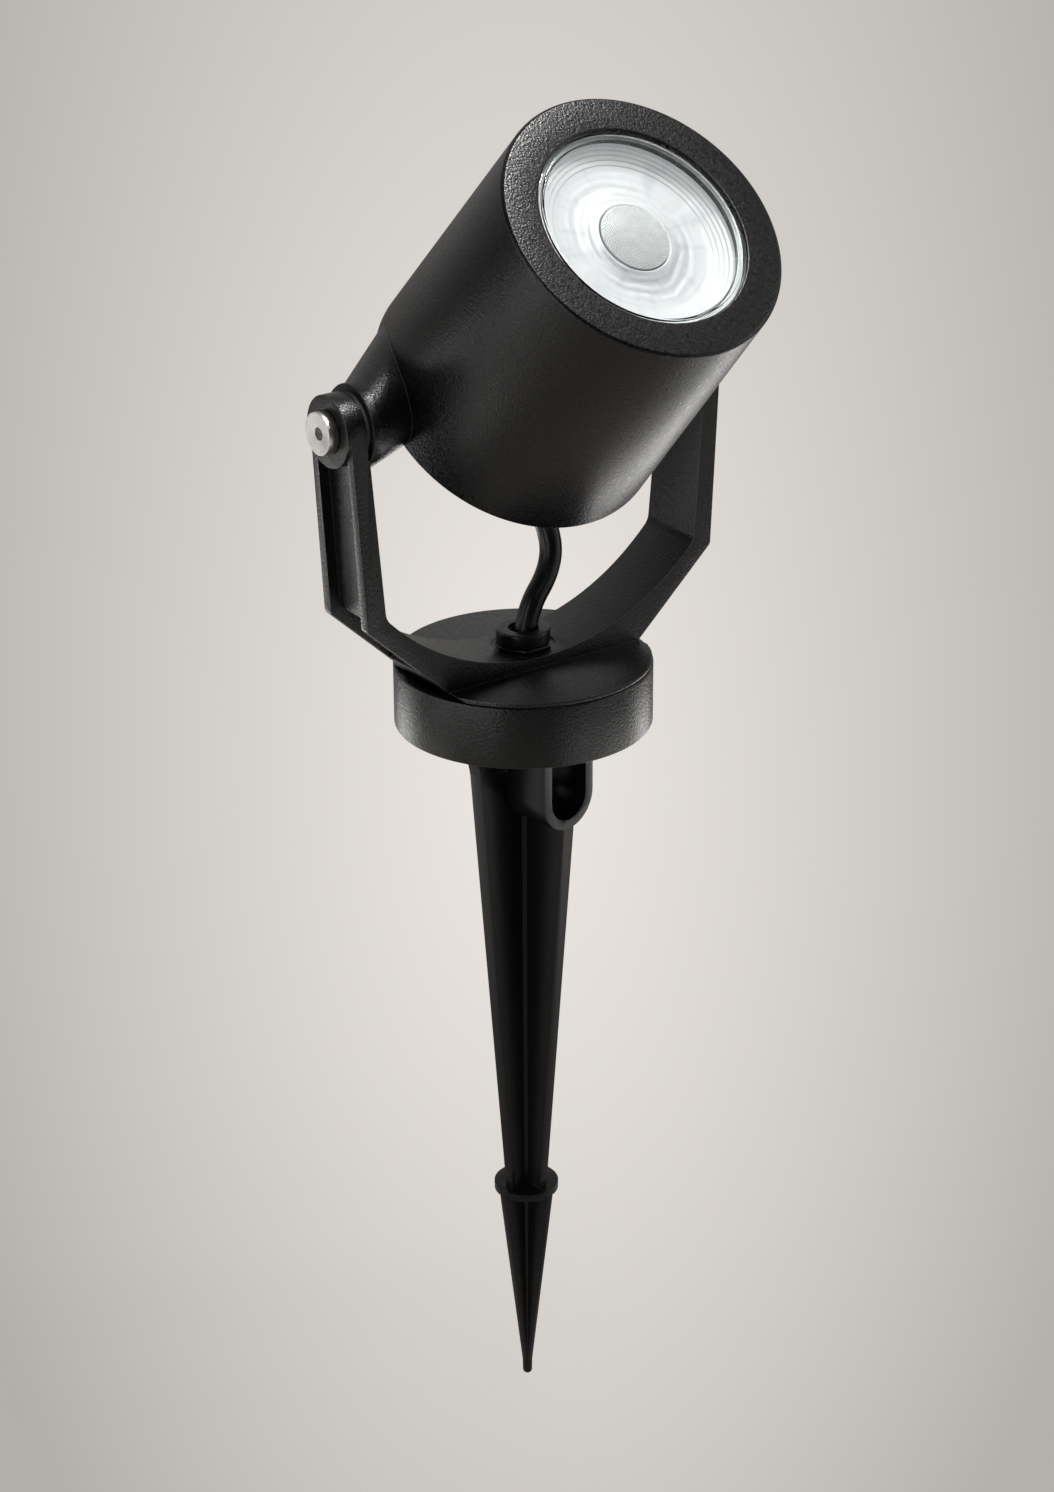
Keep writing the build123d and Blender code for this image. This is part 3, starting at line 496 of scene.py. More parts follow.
@dataclass(frozen=True)
class TurnedSteel(Finish):
    """Stainless steel with turning marks round the tilt axis."""

    name: str = "turned_stainless"
    slot: Slot = Slot.STAINLESS
    groove_pitch: float = 0.00075
    roughness: float = 0.34
    groove_relief: float = 0.0000015
    scuff_scale: float = 900.0
    streaking: float = 0.75
    hollow: tuple[float, float, float] = (0.60, 0.59, 0.57)
    crest: tuple[float, float, float] = (0.72, 0.71, 0.69)

    def paint(self, g: Graph) -> None:
        """Turning marks round the pivot line, which stretch the highlights across themselves.

        Args:
            g: the graph to fill.
        """
        split = g.add("ShaderNodeSeparateXYZ")
        g.wire(g.coords.outputs["Object"], split.inputs[0])
        up = g.minus(split.outputs["Z"], PIVOT_Z * MM)
        radius = g.distance(split.outputs["Y"], up)
        round_axis = g.add("ShaderNodeCombineXYZ")
        g.wire(g.times(up, -1.0), round_axis.inputs[1])
        g.wire(split.outputs["Y"], round_axis.inputs[2])
        tangent = g.add("ShaderNodeVectorMath", operation="NORMALIZE")
        g.wire(round_axis.outputs[0], tangent.inputs[0])
        broad = g.math("SINE", g.times(radius, math.tau / self.groove_pitch))
        scuff = g.noise(self.scuff_scale, 2.0)
        normal = g.bump(broad, self.groove_relief, 0.5)
        rough = g.plus(
            g.remap(scuff, 0.3, 0.7, self.roughness - 0.05, self.roughness + 0.05), g.times(broad, 0.02)
        )
        tone = g.mix_colour(g.remap(broad, -1.0, 1.0, 0.0, 1.0), rgba(*self.hollow), rgba(*self.crest))
        g.principled(
            Base_Color=tone,
            Roughness=rough,
            Normal=normal,
            Metallic=1.0,
            Anisotropic=self.streaking,
            Tangent=tangent.outputs["Vector"],
        )


@dataclass(frozen=True)
class PlainSteel(Finish):
    """Bright steel of small screws and nuts."""

    name: str = "plain_stainless"
    slot: Slot = Slot.STAINLESS
    roughness: float = 0.3
    scuff_scale: float = 800.0
    grain_scale: float = 2500.0
    grain_relief: float = 0.00001
    dull: tuple[float, float, float] = (0.48, 0.47, 0.46)
    bright: tuple[float, float, float] = (0.66, 0.65, 0.64)

    def paint(self, g: Graph) -> None:
        """Paint the finish.

        Args:
            g: the graph to fill.
        """
        scuff = g.noise(self.scuff_scale, 3.0)
        tone = g.mix_colour(scuff, rgba(*self.dull), rgba(*self.bright))
        normal = g.bump(g.noise(self.grain_scale, 1.0), self.grain_relief, 0.5)
        rough = g.remap(scuff, 0.3, 0.7, self.roughness - 0.07, self.roughness + 0.08)
        g.principled(Base_Color=tone, Roughness=rough, Normal=normal, Metallic=1.0)


@dataclass(frozen=True)
class SatinReflector(Finish):
    """Pearly satin reflector with soft ripples round the lens and faint streaks that run outwards."""

    name: str = "satin_reflector"
    slot: Slot = Slot.REFLECTOR
    bright: tuple[float, float, float] = (0.86, 0.865, 0.88)
    shaded: tuple[float, float, float] = (0.58, 0.60, 0.65)
    roughness: float = 0.42
    ripple_pitch: float = 0.0034
    ripple_drift: float = 9.0
    streak_turns: float = 3.4
    streak_fade: float = 38.0
    patch_scale: float = 120.0
    relief: float = 0.00020
    metal_share: float = 0.1

    def paint(self, g: Graph) -> None:
        """Ripples that follow the radius, streaks that follow the angle, broken by soft noise.

        Args:
            g: the graph to fill.
        """
        place = g.add("ShaderNodeMapping", vector_type="TEXTURE")
        place.inputs["Location"].default_value = (0, 0, PIVOT_Z * MM)
        place.inputs["Rotation"].default_value = (math.radians(TILT), 0, 0)
        g.wire(g.coords.outputs["Object"], place.inputs["Vector"])
        split = g.add("ShaderNodeSeparateXYZ")
        g.wire(place.outputs["Vector"], split.inputs[0])
        across, upward = split.outputs["X"], split.outputs["Y"]
        radius = g.distance(across, upward)
        fan = g.add("ShaderNodeCombineXYZ")
        g.wire(g.times(g.over(across, radius), self.streak_turns), fan.inputs[0])
        g.wire(g.times(g.over(upward, radius), self.streak_turns), fan.inputs[1])
        g.wire(g.times(radius, self.streak_fade), fan.inputs[2])
        streaks = g.add("ShaderNodeTexNoise")
        streaks.inputs["Scale"].default_value = 1.5
        streaks.inputs["Detail"].default_value = 2.5
        g.wire(fan.outputs[0], streaks.inputs["Vector"])
        drift = g.noise(70.0, 2.0, 0.5)
        phase = g.plus(g.times(radius, math.tau / self.ripple_pitch), g.times(drift, self.ripple_drift))
        waves = g.math("SINE", phase)
        near = g.remap(radius, 0.027, 0.015, 0.0, 1.0)
        patch = g.noise(self.patch_scale, 3.0, 0.55)
        height = g.plus(g.times(g.times(waves, near), 0.55), g.times(patch, 1.5))
        height = g.plus(height, g.times(streaks.outputs["Fac"], 1.4))
        normal = g.bump(height, self.relief, 0.8)
        shade = g.times(
            g.remap(streaks.outputs["Fac"], 0.52, 0.74, 0.0, 0.5), g.remap(radius, 0.012, 0.019, 0.15, 1.0)
        )
        ring_shade = g.times(
            g.times(g.remap(waves, 0.1, 1.0, 0.0, 0.26), near), g.remap(patch, 0.35, 0.6, 0.2, 1.0)
        )
        tone = g.mix_colour(g.math("MAXIMUM", shade, ring_shade), rgba(*self.bright), rgba(*self.shaded))
        rough = g.remap(patch, 0.3, 0.7, self.roughness - 0.06, self.roughness + 0.1)
        g.principled(Base_Color=tone, Roughness=rough, Normal=normal, Metallic=self.metal_share)


@dataclass(frozen=True)
class ClearGlass(Finish):
    """Clear glass that lets the studio light reach what lies behind it."""

    name: str = "clear_glass"
    slot: Slot = Slot.GLASS
    tint: tuple[float, float, float] = (0.97, 0.985, 0.985)
    ior: float = 1.47

    def paint(self, g: Graph) -> None:
        """True glass for the eye, plain transparency for light that only passes through.

        Args:
            g: the graph to fill.
        """
        smear = g.noise(60.0, 3.0)
        rough = g.remap(smear, 0.35, 0.75, 0.0, 0.03)
        glass = g.principled(
            Base_Color=rgba(*self.tint), Roughness=rough, Transmission_Weight=1.0, IOR=self.ior
        )
        clear = g.add("ShaderNodeBsdfTransparent")
        clear.inputs["Color"].default_value = rgba(*self.tint)
        path = g.add("ShaderNodeLightPath")
        through = g.math("MAXIMUM", path.outputs["Is Shadow Ray"], path.outputs["Is Diffuse Ray"])
        mix = g.add("ShaderNodeMixShader")
        g.wire(through, mix.inputs["Fac"])
        g.wire(glass.outputs[0], mix.inputs[1])
        g.wire(clear.outputs[0], mix.inputs[2])
        g.wire(mix.outputs[0], g.output.inputs["Surface"])


@dataclass(frozen=True)
class FrostedOptic(Finish):
    """Milky acrylic of the centre lens, with a slight haze."""

    name: str = "frosted_optic"
    slot: Slot = Slot.OPTIC
    colour: tuple[float, float, float] = (0.89, 0.895, 0.91)
    roughness: float = 0.34

    def paint(self, g: Graph) -> None:
        """Paint the finish.

        Args:
            g: the graph to fill.
        """
        haze = g.noise(300.0, 2.0)
        tone = g.mix_colour(
            g.remap(haze, 0.3, 0.7, 0.0, 1.0), rgba(*(c * 0.9 for c in self.colour)), rgba(*self.colour)
        )
        rough = g.remap(haze, 0.3, 0.7, self.roughness - 0.06, self.roughness + 0.06)
        g.principled(Base_Color=tone, Roughness=rough)


@dataclass(frozen=True)
class StageFinish(Finish):
    """Pale seamless studio paper with a long pool of light on it, brightest behind the lamp."""

    name: str = "studio_paper"
    heading: float = 36.0
    apex: tuple[float, float] = (-0.6035, -0.8307)
    height: float = 0.7215
    half_width: float = 0.118
    middle: float = 0.423
    half_depth: float = 0.273
    shown: float = 0.82
    mirrored: float = 0.25
    paper: tuple[float, float, float] = (1.0, 0.955, 0.912)
    core: float = 0.965
    edge: float = 0.50
    reach: float = 1.95

    def paint(self, g: Graph) -> None:
        """A fan of light over the floor, held steady for the camera, glass and metal.

        Args:
            g: the graph to fill.
        """
        place = g.add("ShaderNodeMapping", vector_type="TEXTURE")
        place.inputs["Location"].default_value = (self.apex[0], self.apex[1], 0)
        place.inputs["Rotation"].default_value = (0, 0, -math.radians(self.heading))
        g.wire(g.coords.outputs["Object"], place.inputs["Vector"])
        split = g.add("ShaderNodeSeparateXYZ")
        g.wire(place.outputs["Vector"], split.inputs[0])
        along = g.math("MAXIMUM", split.outputs["Y"], 0.25)
        across = g.over(g.over(split.outputs["X"], along), self.half_width)
        depth = g.over(g.minus(g.over(self.height, along), self.middle), self.half_depth)
        reach = g.distance(across, depth)
        fade = g.remap(reach, 0.0, self.reach, 0.0, 1.0)
        tone = g.mix_colour(
            fade, rgba(*(c * self.core for c in self.paper)), rgba(*(c * self.edge for c in self.paper))
        )
        paper = g.add("ShaderNodeBsdfDiffuse")
        g.wire(tone, paper.inputs["Color"])
        glow = g.add("ShaderNodeEmission")
        g.wire(tone, glow.inputs["Color"])
        path = g.add("ShaderNodeLightPath")
        seen = g.math("MAXIMUM", path.outputs["Is Camera Ray"], path.outputs["Is Transmission Ray"])
        seen = g.math("MAXIMUM", seen, g.times(path.outputs["Is Glossy Ray"], self.mirrored))
        mix = g.add("ShaderNodeMixShader")
        g.wire(g.times(seen, self.shown), mix.inputs["Fac"])
        g.wire(paper.outputs[0], mix.inputs[1])
        g.wire(glow.outputs[0], mix.inputs[2])
        g.wire(mix.outputs[0], g.output.inputs["Surface"])


@dataclass(frozen=True)
class StudioAir:
    """Surroundings: a pale wall behind the lamp and a dim room in front of it."""

    name: str = "studio_air"
    behind: tuple[float, float, float] = (0.588, 0.809, 0.25)
    pale: tuple[float, float, float] = (1.0, 0.985, 0.965)
    bright: float = 0.39
    dim: float = 0.01
    seen: float = 0.5
    turn: tuple[float, float] = (-0.1, 0.9)

    def world(self) -> bpy.types.World:
        """Build the world, which the camera sees as one pale tone.

        Returns:
            The world.
        """
        world = bpy.data.worlds.new(self.name)
        world.use_nodes = True
        w = Wiring(world.node_tree)
        sky = world.node_tree.nodes["Background"]
        sky.inputs["Color"].default_value = rgba(*self.pale)
        coords = w.add("ShaderNodeTexCoord")
        facing = w.add("ShaderNodeVectorMath", operation="DOT_PRODUCT")
        facing.inputs[1].default_value = self.behind
        w.wire(coords.outputs["Generated"], facing.inputs[0])
        spread = w.add("ShaderNodeMapRange", interpolation_type="SMOOTHSTEP")
        for socket, number in zip(spread.inputs[1:5], (*self.turn, self.dim, self.bright)):
            socket.default_value = number
        w.wire(facing.outputs["Value"], spread.inputs[0])
        path = w.add("ShaderNodeLightPath")
        choose = w.add("ShaderNodeMix")
        w.wire(path.outputs["Is Camera Ray"], choose.inputs["Factor"])
        w.wire(spread.outputs[0], choose.inputs["A"])
        choose.inputs["B"].default_value = self.seen
        w.wire(choose.outputs["Result"], sky.inputs["Strength"])
        return world


@dataclass
class Finishes:
    """Every finish of the lamp, built once and shared."""

    made: dict[str, bpy.types.Material] = field(default_factory=dict)

    def get(self, finish: Finish) -> bpy.types.Material:
        """Build a finish on first use.

        Args:
            finish: one of the finish dataclasses.

        Returns:
            Its material.
        """
        if finish.name not in self.made:
            self.made[finish.name] = finish.material()
        return self.made[finish.name]


COAT = PowderCoat()
SPIKE_PLASTIC = MouldedPlastic("spike_plastic_black", (0.004, 0.004, 0.0043), 0.34, Slot.SPIKE, shine=0.28)
GLAND_PLASTIC = MouldedPlastic("gland_plastic_black", (0.005, 0.005, 0.0053), 0.32, Slot.GLAND)
WASHER_PLASTIC = MouldedPlastic("washer_plastic_grey", (0.10, 0.10, 0.10), 0.35, Slot.WASHER)
TERMINAL_PLASTIC = MouldedPlastic("terminal_plastic_cream", (0.75, 0.72, 0.62), 0.4, Slot.TERMINAL)
BOARD_COAT = MouldedPlastic("board_white_mask", (0.82, 0.82, 0.80), 0.3, Slot.BOARD)
PHOSPHOR = MouldedPlastic("led_phosphor_yellow", (0.80, 0.62, 0.14), 0.5, Slot.PHOSPHOR)
CASTING = MouldedPlastic("raw_casting_grey", (0.42, 0.42, 0.43), 0.45, Slot.CASTING, 0.00008, 900.0)
SEAL_RUBBER = Rubber("seal_rubber", Slot.RUBBER, 0.62)
LEAD_RUBBER = Rubber("lead_rubber", Slot.LEAD, 0.34, 0.006)
TURNED = TurnedSteel()
STEEL = PlainSteel()
REFLECTOR = SatinReflector()
GLASS = ClearGlass()
OPTIC = FrostedOptic()
OPTIC_BEADS = FrostedOptic("optic_beads", Slot.OPTIC, (0.93, 0.94, 0.95), 0.22)


# ------------------------------------------------------------------ mesh making


def circle(steps: int) -> list[tuple[float, float]]:
    """Cosine and sine of evenly spaced angles round a circle."""
    return [(math.cos(a), math.sin(a)) for a in (math.tau * i / steps for i in range(steps))]


def rounded(
    profile: Profile, radius: float, steps: int = 4, closed: bool = True
) -> list[tuple[float, float]]:
    """Round the corners of an outline with small arcs.

    Args:
        profile: (radius, height) corners in millimetres.
        radius: radius of the rounding, limited by the neighbouring runs.
        steps: points on each arc.
        closed: whether the outline closes on itself.

    Returns:
        The rounded outline.
    """
    points = [Vector(p) for p in profile]
    count = len(points)
    result: list[tuple[float, float]] = []
    for i, here in enumerate(points):
        on_axis = here.x < ON_AXIS
        if (not closed and i in (0, count - 1)) or on_axis:
            result.append((here.x, here.y))
            continue
        before = points[i - 1] - here
        after = points[(i + 1) % count] - here
        reach = min(radius, 0.45 * before.length, 0.45 * after.length)
        start = here + before.normalized() * reach
        end = here + after.normalized() * reach
        for k in range(steps + 1):
            t = k / steps
            point = start * (1 - t) ** 2 + here * (2 * t * (1 - t)) + end * t**2
            result.append((point.x, point.y))
    return result


def lathe(profile: Profile, segments: int, place: Matrix, closed: bool = True) -> bpy.types.Mesh:
    """Spin an outline about Z.

    Args:
        profile: (radius, height) points in millimetres; points on the axis become poles.
        segments: steps round the axis.
        place: matrix that puts the piece in the lamp's frame.
        closed: whether the last point joins the first.

    Returns:
        The mesh, with outward faces.
    """
    bm = bmesh.new()
    rings: list[list[bmesh.types.BMVert]] = []
    for r, z in profile:
        if r < ON_AXIS:
            rings.append([bm.verts.new((0, 0, z * MM))])
        else:
            rings.append([bm.verts.new((r * MM * c, r * MM * s, z * MM)) for c, s in circle(segments)])
    pairs = list(zip(rings, rings[1:])) + ([(rings[-1], rings[0])] if closed else [])
    for lower, upper in pairs:
        if len(lower) == 1 and len(upper) == 1:
            continue
        for i in range(segments):
            j = (i + 1) % segments
            corners = [
                lower[i % len(lower)], lower[j % len(lower)], upper[j % len(upper)], upper[i % len(upper)]
            ]
            unique = list(dict.fromkeys(corners))
            if len(unique) > 2:
                bm.faces.new(unique)
    bmesh.ops.recalc_face_normals(bm, faces=bm.faces)
    return finished_mesh(bm, place)


def finished_mesh(bm: bmesh.types.BMesh, place: Matrix) -> bpy.types.Mesh:
    """Turn a bmesh into a placed, smooth-shaded mesh and free it.

    Args:
        bm: the bmesh, which is freed.
        place: matrix that puts the mesh in the lamp's frame.

    Returns:
        The mesh.
    """
    mesh = bpy.data.meshes.new("made")
    bm.to_mesh(mesh)
    bm.free()
    mesh.transform(place)
    mesh.shade_smooth()
    mesh.set_sharp_from_angle(angle=SHARP_ANGLE)
    return mesh


def hexagon(across_flats: float, low: float, high: float, edge: float) -> bpy.types.Mesh:
    """Upright hexagonal nut blank with eased edges.

    Args:
        across_flats: width over the flats, mm.
        low: lower face, mm.
        high: upper face, mm.
        edge: chamfer on the rims, mm.

    Returns:
        The mesh, upright at the origin.
    """
    bm = bmesh.new()
    corner = across_flats / math.sqrt(3) * MM
    depth = (high - low) * MM
    bmesh.ops.create_cone(bm, cap_ends=True, segments=6, radius1=corner, radius2=corner, depth=depth)
    bmesh.ops.rotate(bm, verts=bm.verts, matrix=Matrix.Rotation(math.radians(30), 3, "Z"))
    bmesh.ops.translate(bm, verts=bm.verts, vec=(0, 0, (low + high) / 2 * MM))
    bmesh.ops.bevel(bm, geom=bm.edges[:], offset=edge * MM, segments=2, affect="EDGES", profile=0.5)
    return finished_mesh(bm, UPRIGHT)


def joined(meshes: Sequence[bpy.types.Mesh]) -> bpy.types.Mesh:
    """Put several meshes into one.

    Args:
        meshes: the meshes to join.

    Returns:
        The joined mesh.
    """
    bm = bmesh.new()
    for mesh in meshes:
        bm.from_mesh(mesh)
    return finished_mesh(bm, UPRIGHT)


def eased_copy(node: str, width: float, segments: int = 3, angle: float = 28.0) -> bpy.types.Mesh:
    """Copy a CAD node's mesh, merge it and ease its sharp edges.

    Args:
        node: the CAD node's name.
        width: width of the eased edge, mm.
        segments: steps over the edge.
        angle: edges sharper than this are eased, degrees.

    Returns:
        The eased mesh.
    """
    bm = bmesh.new()
    bm.from_mesh(frame["nodes"][node].data)
    bmesh.ops.remove_doubles(bm, verts=bm.verts, dist=MERGE_REACH)
    bmesh.ops.dissolve_degenerate(bm, edges=bm.edges, dist=SHORTEST_EDGE)
    bmesh.ops.dissolve_limit(bm, angle_limit=FLAT_ANGLE, verts=bm.verts, edges=bm.edges, delimit={"NORMAL"})
    mesh = bpy.data.meshes.new(node + "_merged")
    bm.to_mesh(mesh)
    bm.free()
    holder = bpy.data.objects.new(node + "_holder", mesh)
    bpy.context.scene.collection.objects.link(holder)
    bevel = holder.modifiers.new("eased", "BEVEL")
    bevel.width = width * MM
    bevel.segments = segments
    bevel.limit_method = "ANGLE"
    bevel.angle_limit = math.radians(angle)
    bevel.use_clamp_overlap = True
    bevel.harden_normals = False
    bevel.miter_outer = "MITER_ARC"
    made = evaluated_mesh(holder)
    bpy.data.objects.remove(holder)
    made.shade_smooth()
    made.set_sharp_from_angle(angle=EASED_SHARP_ANGLE)
    return made


def evaluated_mesh(obj: bpy.types.Object) -> bpy.types.Mesh:
    """Plain mesh of an object with its modifiers applied.

    Args:
        obj: the object.

    Returns:
        A new mesh.
    """
    bpy.context.view_layer.update()
    depsgraph = bpy.context.evaluated_depsgraph_get()
    return bpy.data.meshes.new_from_object(obj.evaluated_get(depsgraph), depsgraph=depsgraph)


def tube_mesh(line: Sequence[Vector], radius: float, sides: int) -> bpy.types.Mesh:
    """Round tube along a line, with a UV map that runs along it.

    Args:
        line: points in metres.
        radius: tube radius, metres.
        sides: corners of the section.

    Returns:
        The closed tube.
    """
    bm = bmesh.new()
    layer = bm.loops.layers.uv.new("along")
    heading = (line[1] - line[0]).normalized()
    side = heading.orthogonal().normalized()
    rings = []
    for i, point in enumerate(line):
        ahead = (line[min(i + 1, len(line) - 1)] - line[max(i - 1, 0)]).normalized()
        side = (side - ahead * side.dot(ahead)).normalized()
        other = ahead.cross(side)
        rings.append([bm.verts.new(point + radius * (side * c + other * s)) for c, s in circle(sides)])
    travelled = 0.0
    for i, (lower, upper) in enumerate(zip(rings, rings[1:])):
        run = (line[i + 1] - line[i]).length
        for k in range(sides):
            j = (k + 1) % sides
            face = bm.faces.new((lower[k], lower[j], upper[j], upper[k]))
            turns = (k / sides, (k + 1) / sides)
            far = travelled + run
            corners = ((travelled, turns[0]), (travelled, turns[1]), (far, turns[1]), (far, turns[0]))
            for loop, uv in zip(face.loops, corners):
                loop[layer].uv = uv
        travelled += run
    bm.faces.new(list(reversed(rings[0])))
    bm.faces.new(rings[-1])
    bmesh.ops.recalc_face_normals(bm, faces=bm.faces)
    return finished_mesh(bm, UPRIGHT)


@dataclass
class Workshop:
    """Turns meshes into finished pieces that ride on the right body."""

    finishes: Finishes

    def piece(
        self,
        name: str,
        mesh: bpy.types.Mesh,
        finish: Finish,
        body: Body | None,
        replaces: Sequence[str] = (),
    ) -> bpy.types.Object:
        """Make a mesh a piece of the lamp.

        Args:
            name: the piece's name.
            mesh: its mesh, already in the lamp's frame.
            finish: the finish it wears.
            body: the body it rides on, or None for a piece that rides on no body.
            replaces: CAD nodes that it stands for.

        Returns:
            The new object.
        """
        mesh.name = name
        obj = bpy.data.objects.new(name, mesh)
        bpy.context.scene.collection.objects.link(obj)
        mesh.materials.clear()
        mesh.materials.append(self.finishes.get(finish))
        for polygon in mesh.polygons:
            polygon.material_index = 0
        if body is not None:
            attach(obj, body.value)
        if replaces:
            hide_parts(*replaces)
        LOG.info("piece %s: %d faces", name, len(mesh.polygons))
        return obj

    def dress(self, finish: Finish, *nodes: str) -> None:
        """Give CAD nodes that stay in view their finish.

        Args:
            finish: the finish they wear.
            nodes: the CAD nodes' names.
        """
        material = self.finishes.get(finish)
        for node in nodes:
            obj = frame["nodes"][node]
            if not obj.material_slots:
                obj.data.materials.append(material)
            for held in obj.material_slots:
                held.material = material
            LOG.info("node %s wears %s", node, finish.name)


# ------------------------------------------------------------------ geometry node trees


class NodeTree(Wiring):
    """Builder of one geometry node group with named inputs."""

    def __init__(self, name: str) -> None:
        """Start a group with one geometry input and one geometry output.

        Args:
            name: the group's name.
        """
        super().__init__(bpy.data.node_groups.new(name, "GeometryNodeTree"))
        for way in ("INPUT", "OUTPUT"):
            self.tree.interface.new_socket("Geometry", in_out=way, socket_type="NodeSocketGeometry")
        self.start = self.add("NodeGroupInput")
        self.end = self.add("NodeGroupOutput")
        self.ids: dict[str, str] = {}

    def number(self, name: str, value: float, whole: bool = False) -> bpy.types.NodeSocket:
        """Declare a named input.

        Args:
            name: the input's name.
            value: its default.
            whole: whether it is a whole number.

        Returns:
            The socket that carries it.
        """
        kind = "NodeSocketInt" if whole else "NodeSocketFloat"
        item = self.tree.interface.new_socket(name, in_out="INPUT", socket_type=kind)
        item.default_value = value
        self.ids[name] = item.identifier
        return next(s for s in self.start.outputs if s.identifier == item.identifier)

    def close(self, geometry: bpy.types.NodeSocket, material: bpy.types.Material) -> None:
        """End the tree with real geometry that wears a material.

        Args:
            geometry: the socket of the finished geometry.
            material: what it wears.
        """
        realize = self.add("GeometryNodeRealizeInstances")
        dress = self.add("GeometryNodeSetMaterial")
        dress.inputs["Material"].default_value = material
        self.wire(geometry, realize.inputs[0])
        self.wire(realize.outputs[0], dress.inputs["Geometry"])
        self.wire(dress.outputs[0], self.end.inputs[0])


def grown(
    tree: NodeTree, seed_mesh: bpy.types.Mesh, values: dict[str, float], place: Matrix
) -> bpy.types.Mesh:
    """Run a tree on a mesh and return plain geometry.

    Args:
        tree: the finished tree.
        seed_mesh: what the tree starts from.
        values: named inputs.
        place: matrix that puts the result in the lamp's frame.

    Returns:
        The resulting mesh.
    """
    holder = bpy.data.objects.new("grower", seed_mesh)
    bpy.context.scene.collection.objects.link(holder)
    modifier = holder.modifiers.new("grow", "NODES")
    modifier.node_group = tree.tree
    for name, value in values.items():
        modifier[tree.ids[name]] = value
    mesh = evaluated_mesh(holder)
    bpy.data.objects.remove(holder)
    mesh.transform(place)
    return mesh


def screw_ring_tree(material: bpy.types.Material) -> NodeTree:
    """Tree that sets copies of the incoming screw on a circle.

    Args:
        material: what the screws wear.

    Returns:
        The tree, with inputs Count, Circle, Start and Level.
    """
    t = NodeTree("screw_ring")
    count = t.number("Count", 4, whole=True)
    circle = t.number("Circle", 0.03)
    start = t.number("Start", 0.0)
    level = t.number("Level", 0.0)
    points = t.add("GeometryNodePoints")
    t.wire(count, points.inputs["Count"])
    index = t.add("GeometryNodeInputIndex")
    angle = t.plus(start, t.times(index.outputs[0], t.over(math.tau, count)))
    place = t.add("ShaderNodeCombineXYZ")
    t.wire(t.times(circle, t.math("COSINE", angle)), place.inputs[0])
    t.wire(t.times(circle, t.math("SINE", angle)), place.inputs[1])
    t.wire(level, place.inputs[2])
    t.wire(place.outputs[0], points.inputs["Position"])
    spin = t.add("ShaderNodeCombineXYZ")
    t.wire(t.times(index.outputs[0], 1.9), spin.inputs[2])
    copies = t.add("GeometryNodeInstanceOnPoints")
    t.wire(points.outputs[0], copies.inputs["Points"])
    t.wire(t.start.outputs[0], copies.inputs["Instance"])
    turn = t.add("FunctionNodeEulerToRotation")
    t.wire(spin.outputs[0], turn.inputs[0])
    t.wire(turn.outputs[0], copies.inputs["Rotation"])
    t.close(copies.outputs[0], material)
    return t


def lens_dots_tree(material: bpy.types.Material) -> NodeTree:
    """Tree that covers a dome with small beads in a sunflower pattern.

    Args:
        material: what the beads wear.

    Returns:
        The tree, with inputs Count, Radius, Top, Dome radius and Bead.
    """
    t = NodeTree("lens_dots")
    count = t.number("Count", 900, whole=True)
    radius = t.number("Radius", 0.0115)
    top = t.number("Top", 0.09)
    dome = t.number("Dome radius", 0.043)
    bead = t.number("Bead", 0.0003)
    points = t.add("GeometryNodePoints")
    t.wire(count, points.inputs["Count"])
    index = t.add("GeometryNodeInputIndex")
    share = t.over(t.plus(index.outputs[0], 0.5), count)
    reach = t.times(radius, t.math("SQRT", share))
    angle = t.times(index.outputs[0], math.pi * (3 - math.sqrt(5)))
    height = t.minus(t.math("SQRT", t.minus(t.math("POWER", dome, 2.0), t.math("POWER", reach, 2.0))), dome)
    place = t.add("ShaderNodeCombineXYZ")
    t.wire(t.times(reach, t.math("COSINE", angle)), place.inputs[0])
    t.wire(t.times(reach, t.math("SINE", angle)), place.inputs[1])
    t.wire(t.plus(top, height), place.inputs[2])
    t.wire(place.outputs[0], points.inputs["Position"])
    ball = t.add("GeometryNodeMeshIcoSphere")
    ball.inputs["Subdivisions"].default_value = 1
    t.wire(bead, ball.inputs["Radius"])
    soft = t.add("GeometryNodeSetShadeSmooth")
    t.wire(ball.outputs[0], soft.inputs["Geometry"])
    copies = t.add("GeometryNodeInstanceOnPoints")
    t.wire(points.outputs[0], copies.inputs["Points"])
    t.wire(soft.outputs[0], copies.inputs["Instance"])
    copies.inputs["Scale"].default_value = (1.0, 1.0, 0.55)
    t.close(copies.outputs[0], material)
    return t


# ------------------------------------------------------------------ sub-assemblies


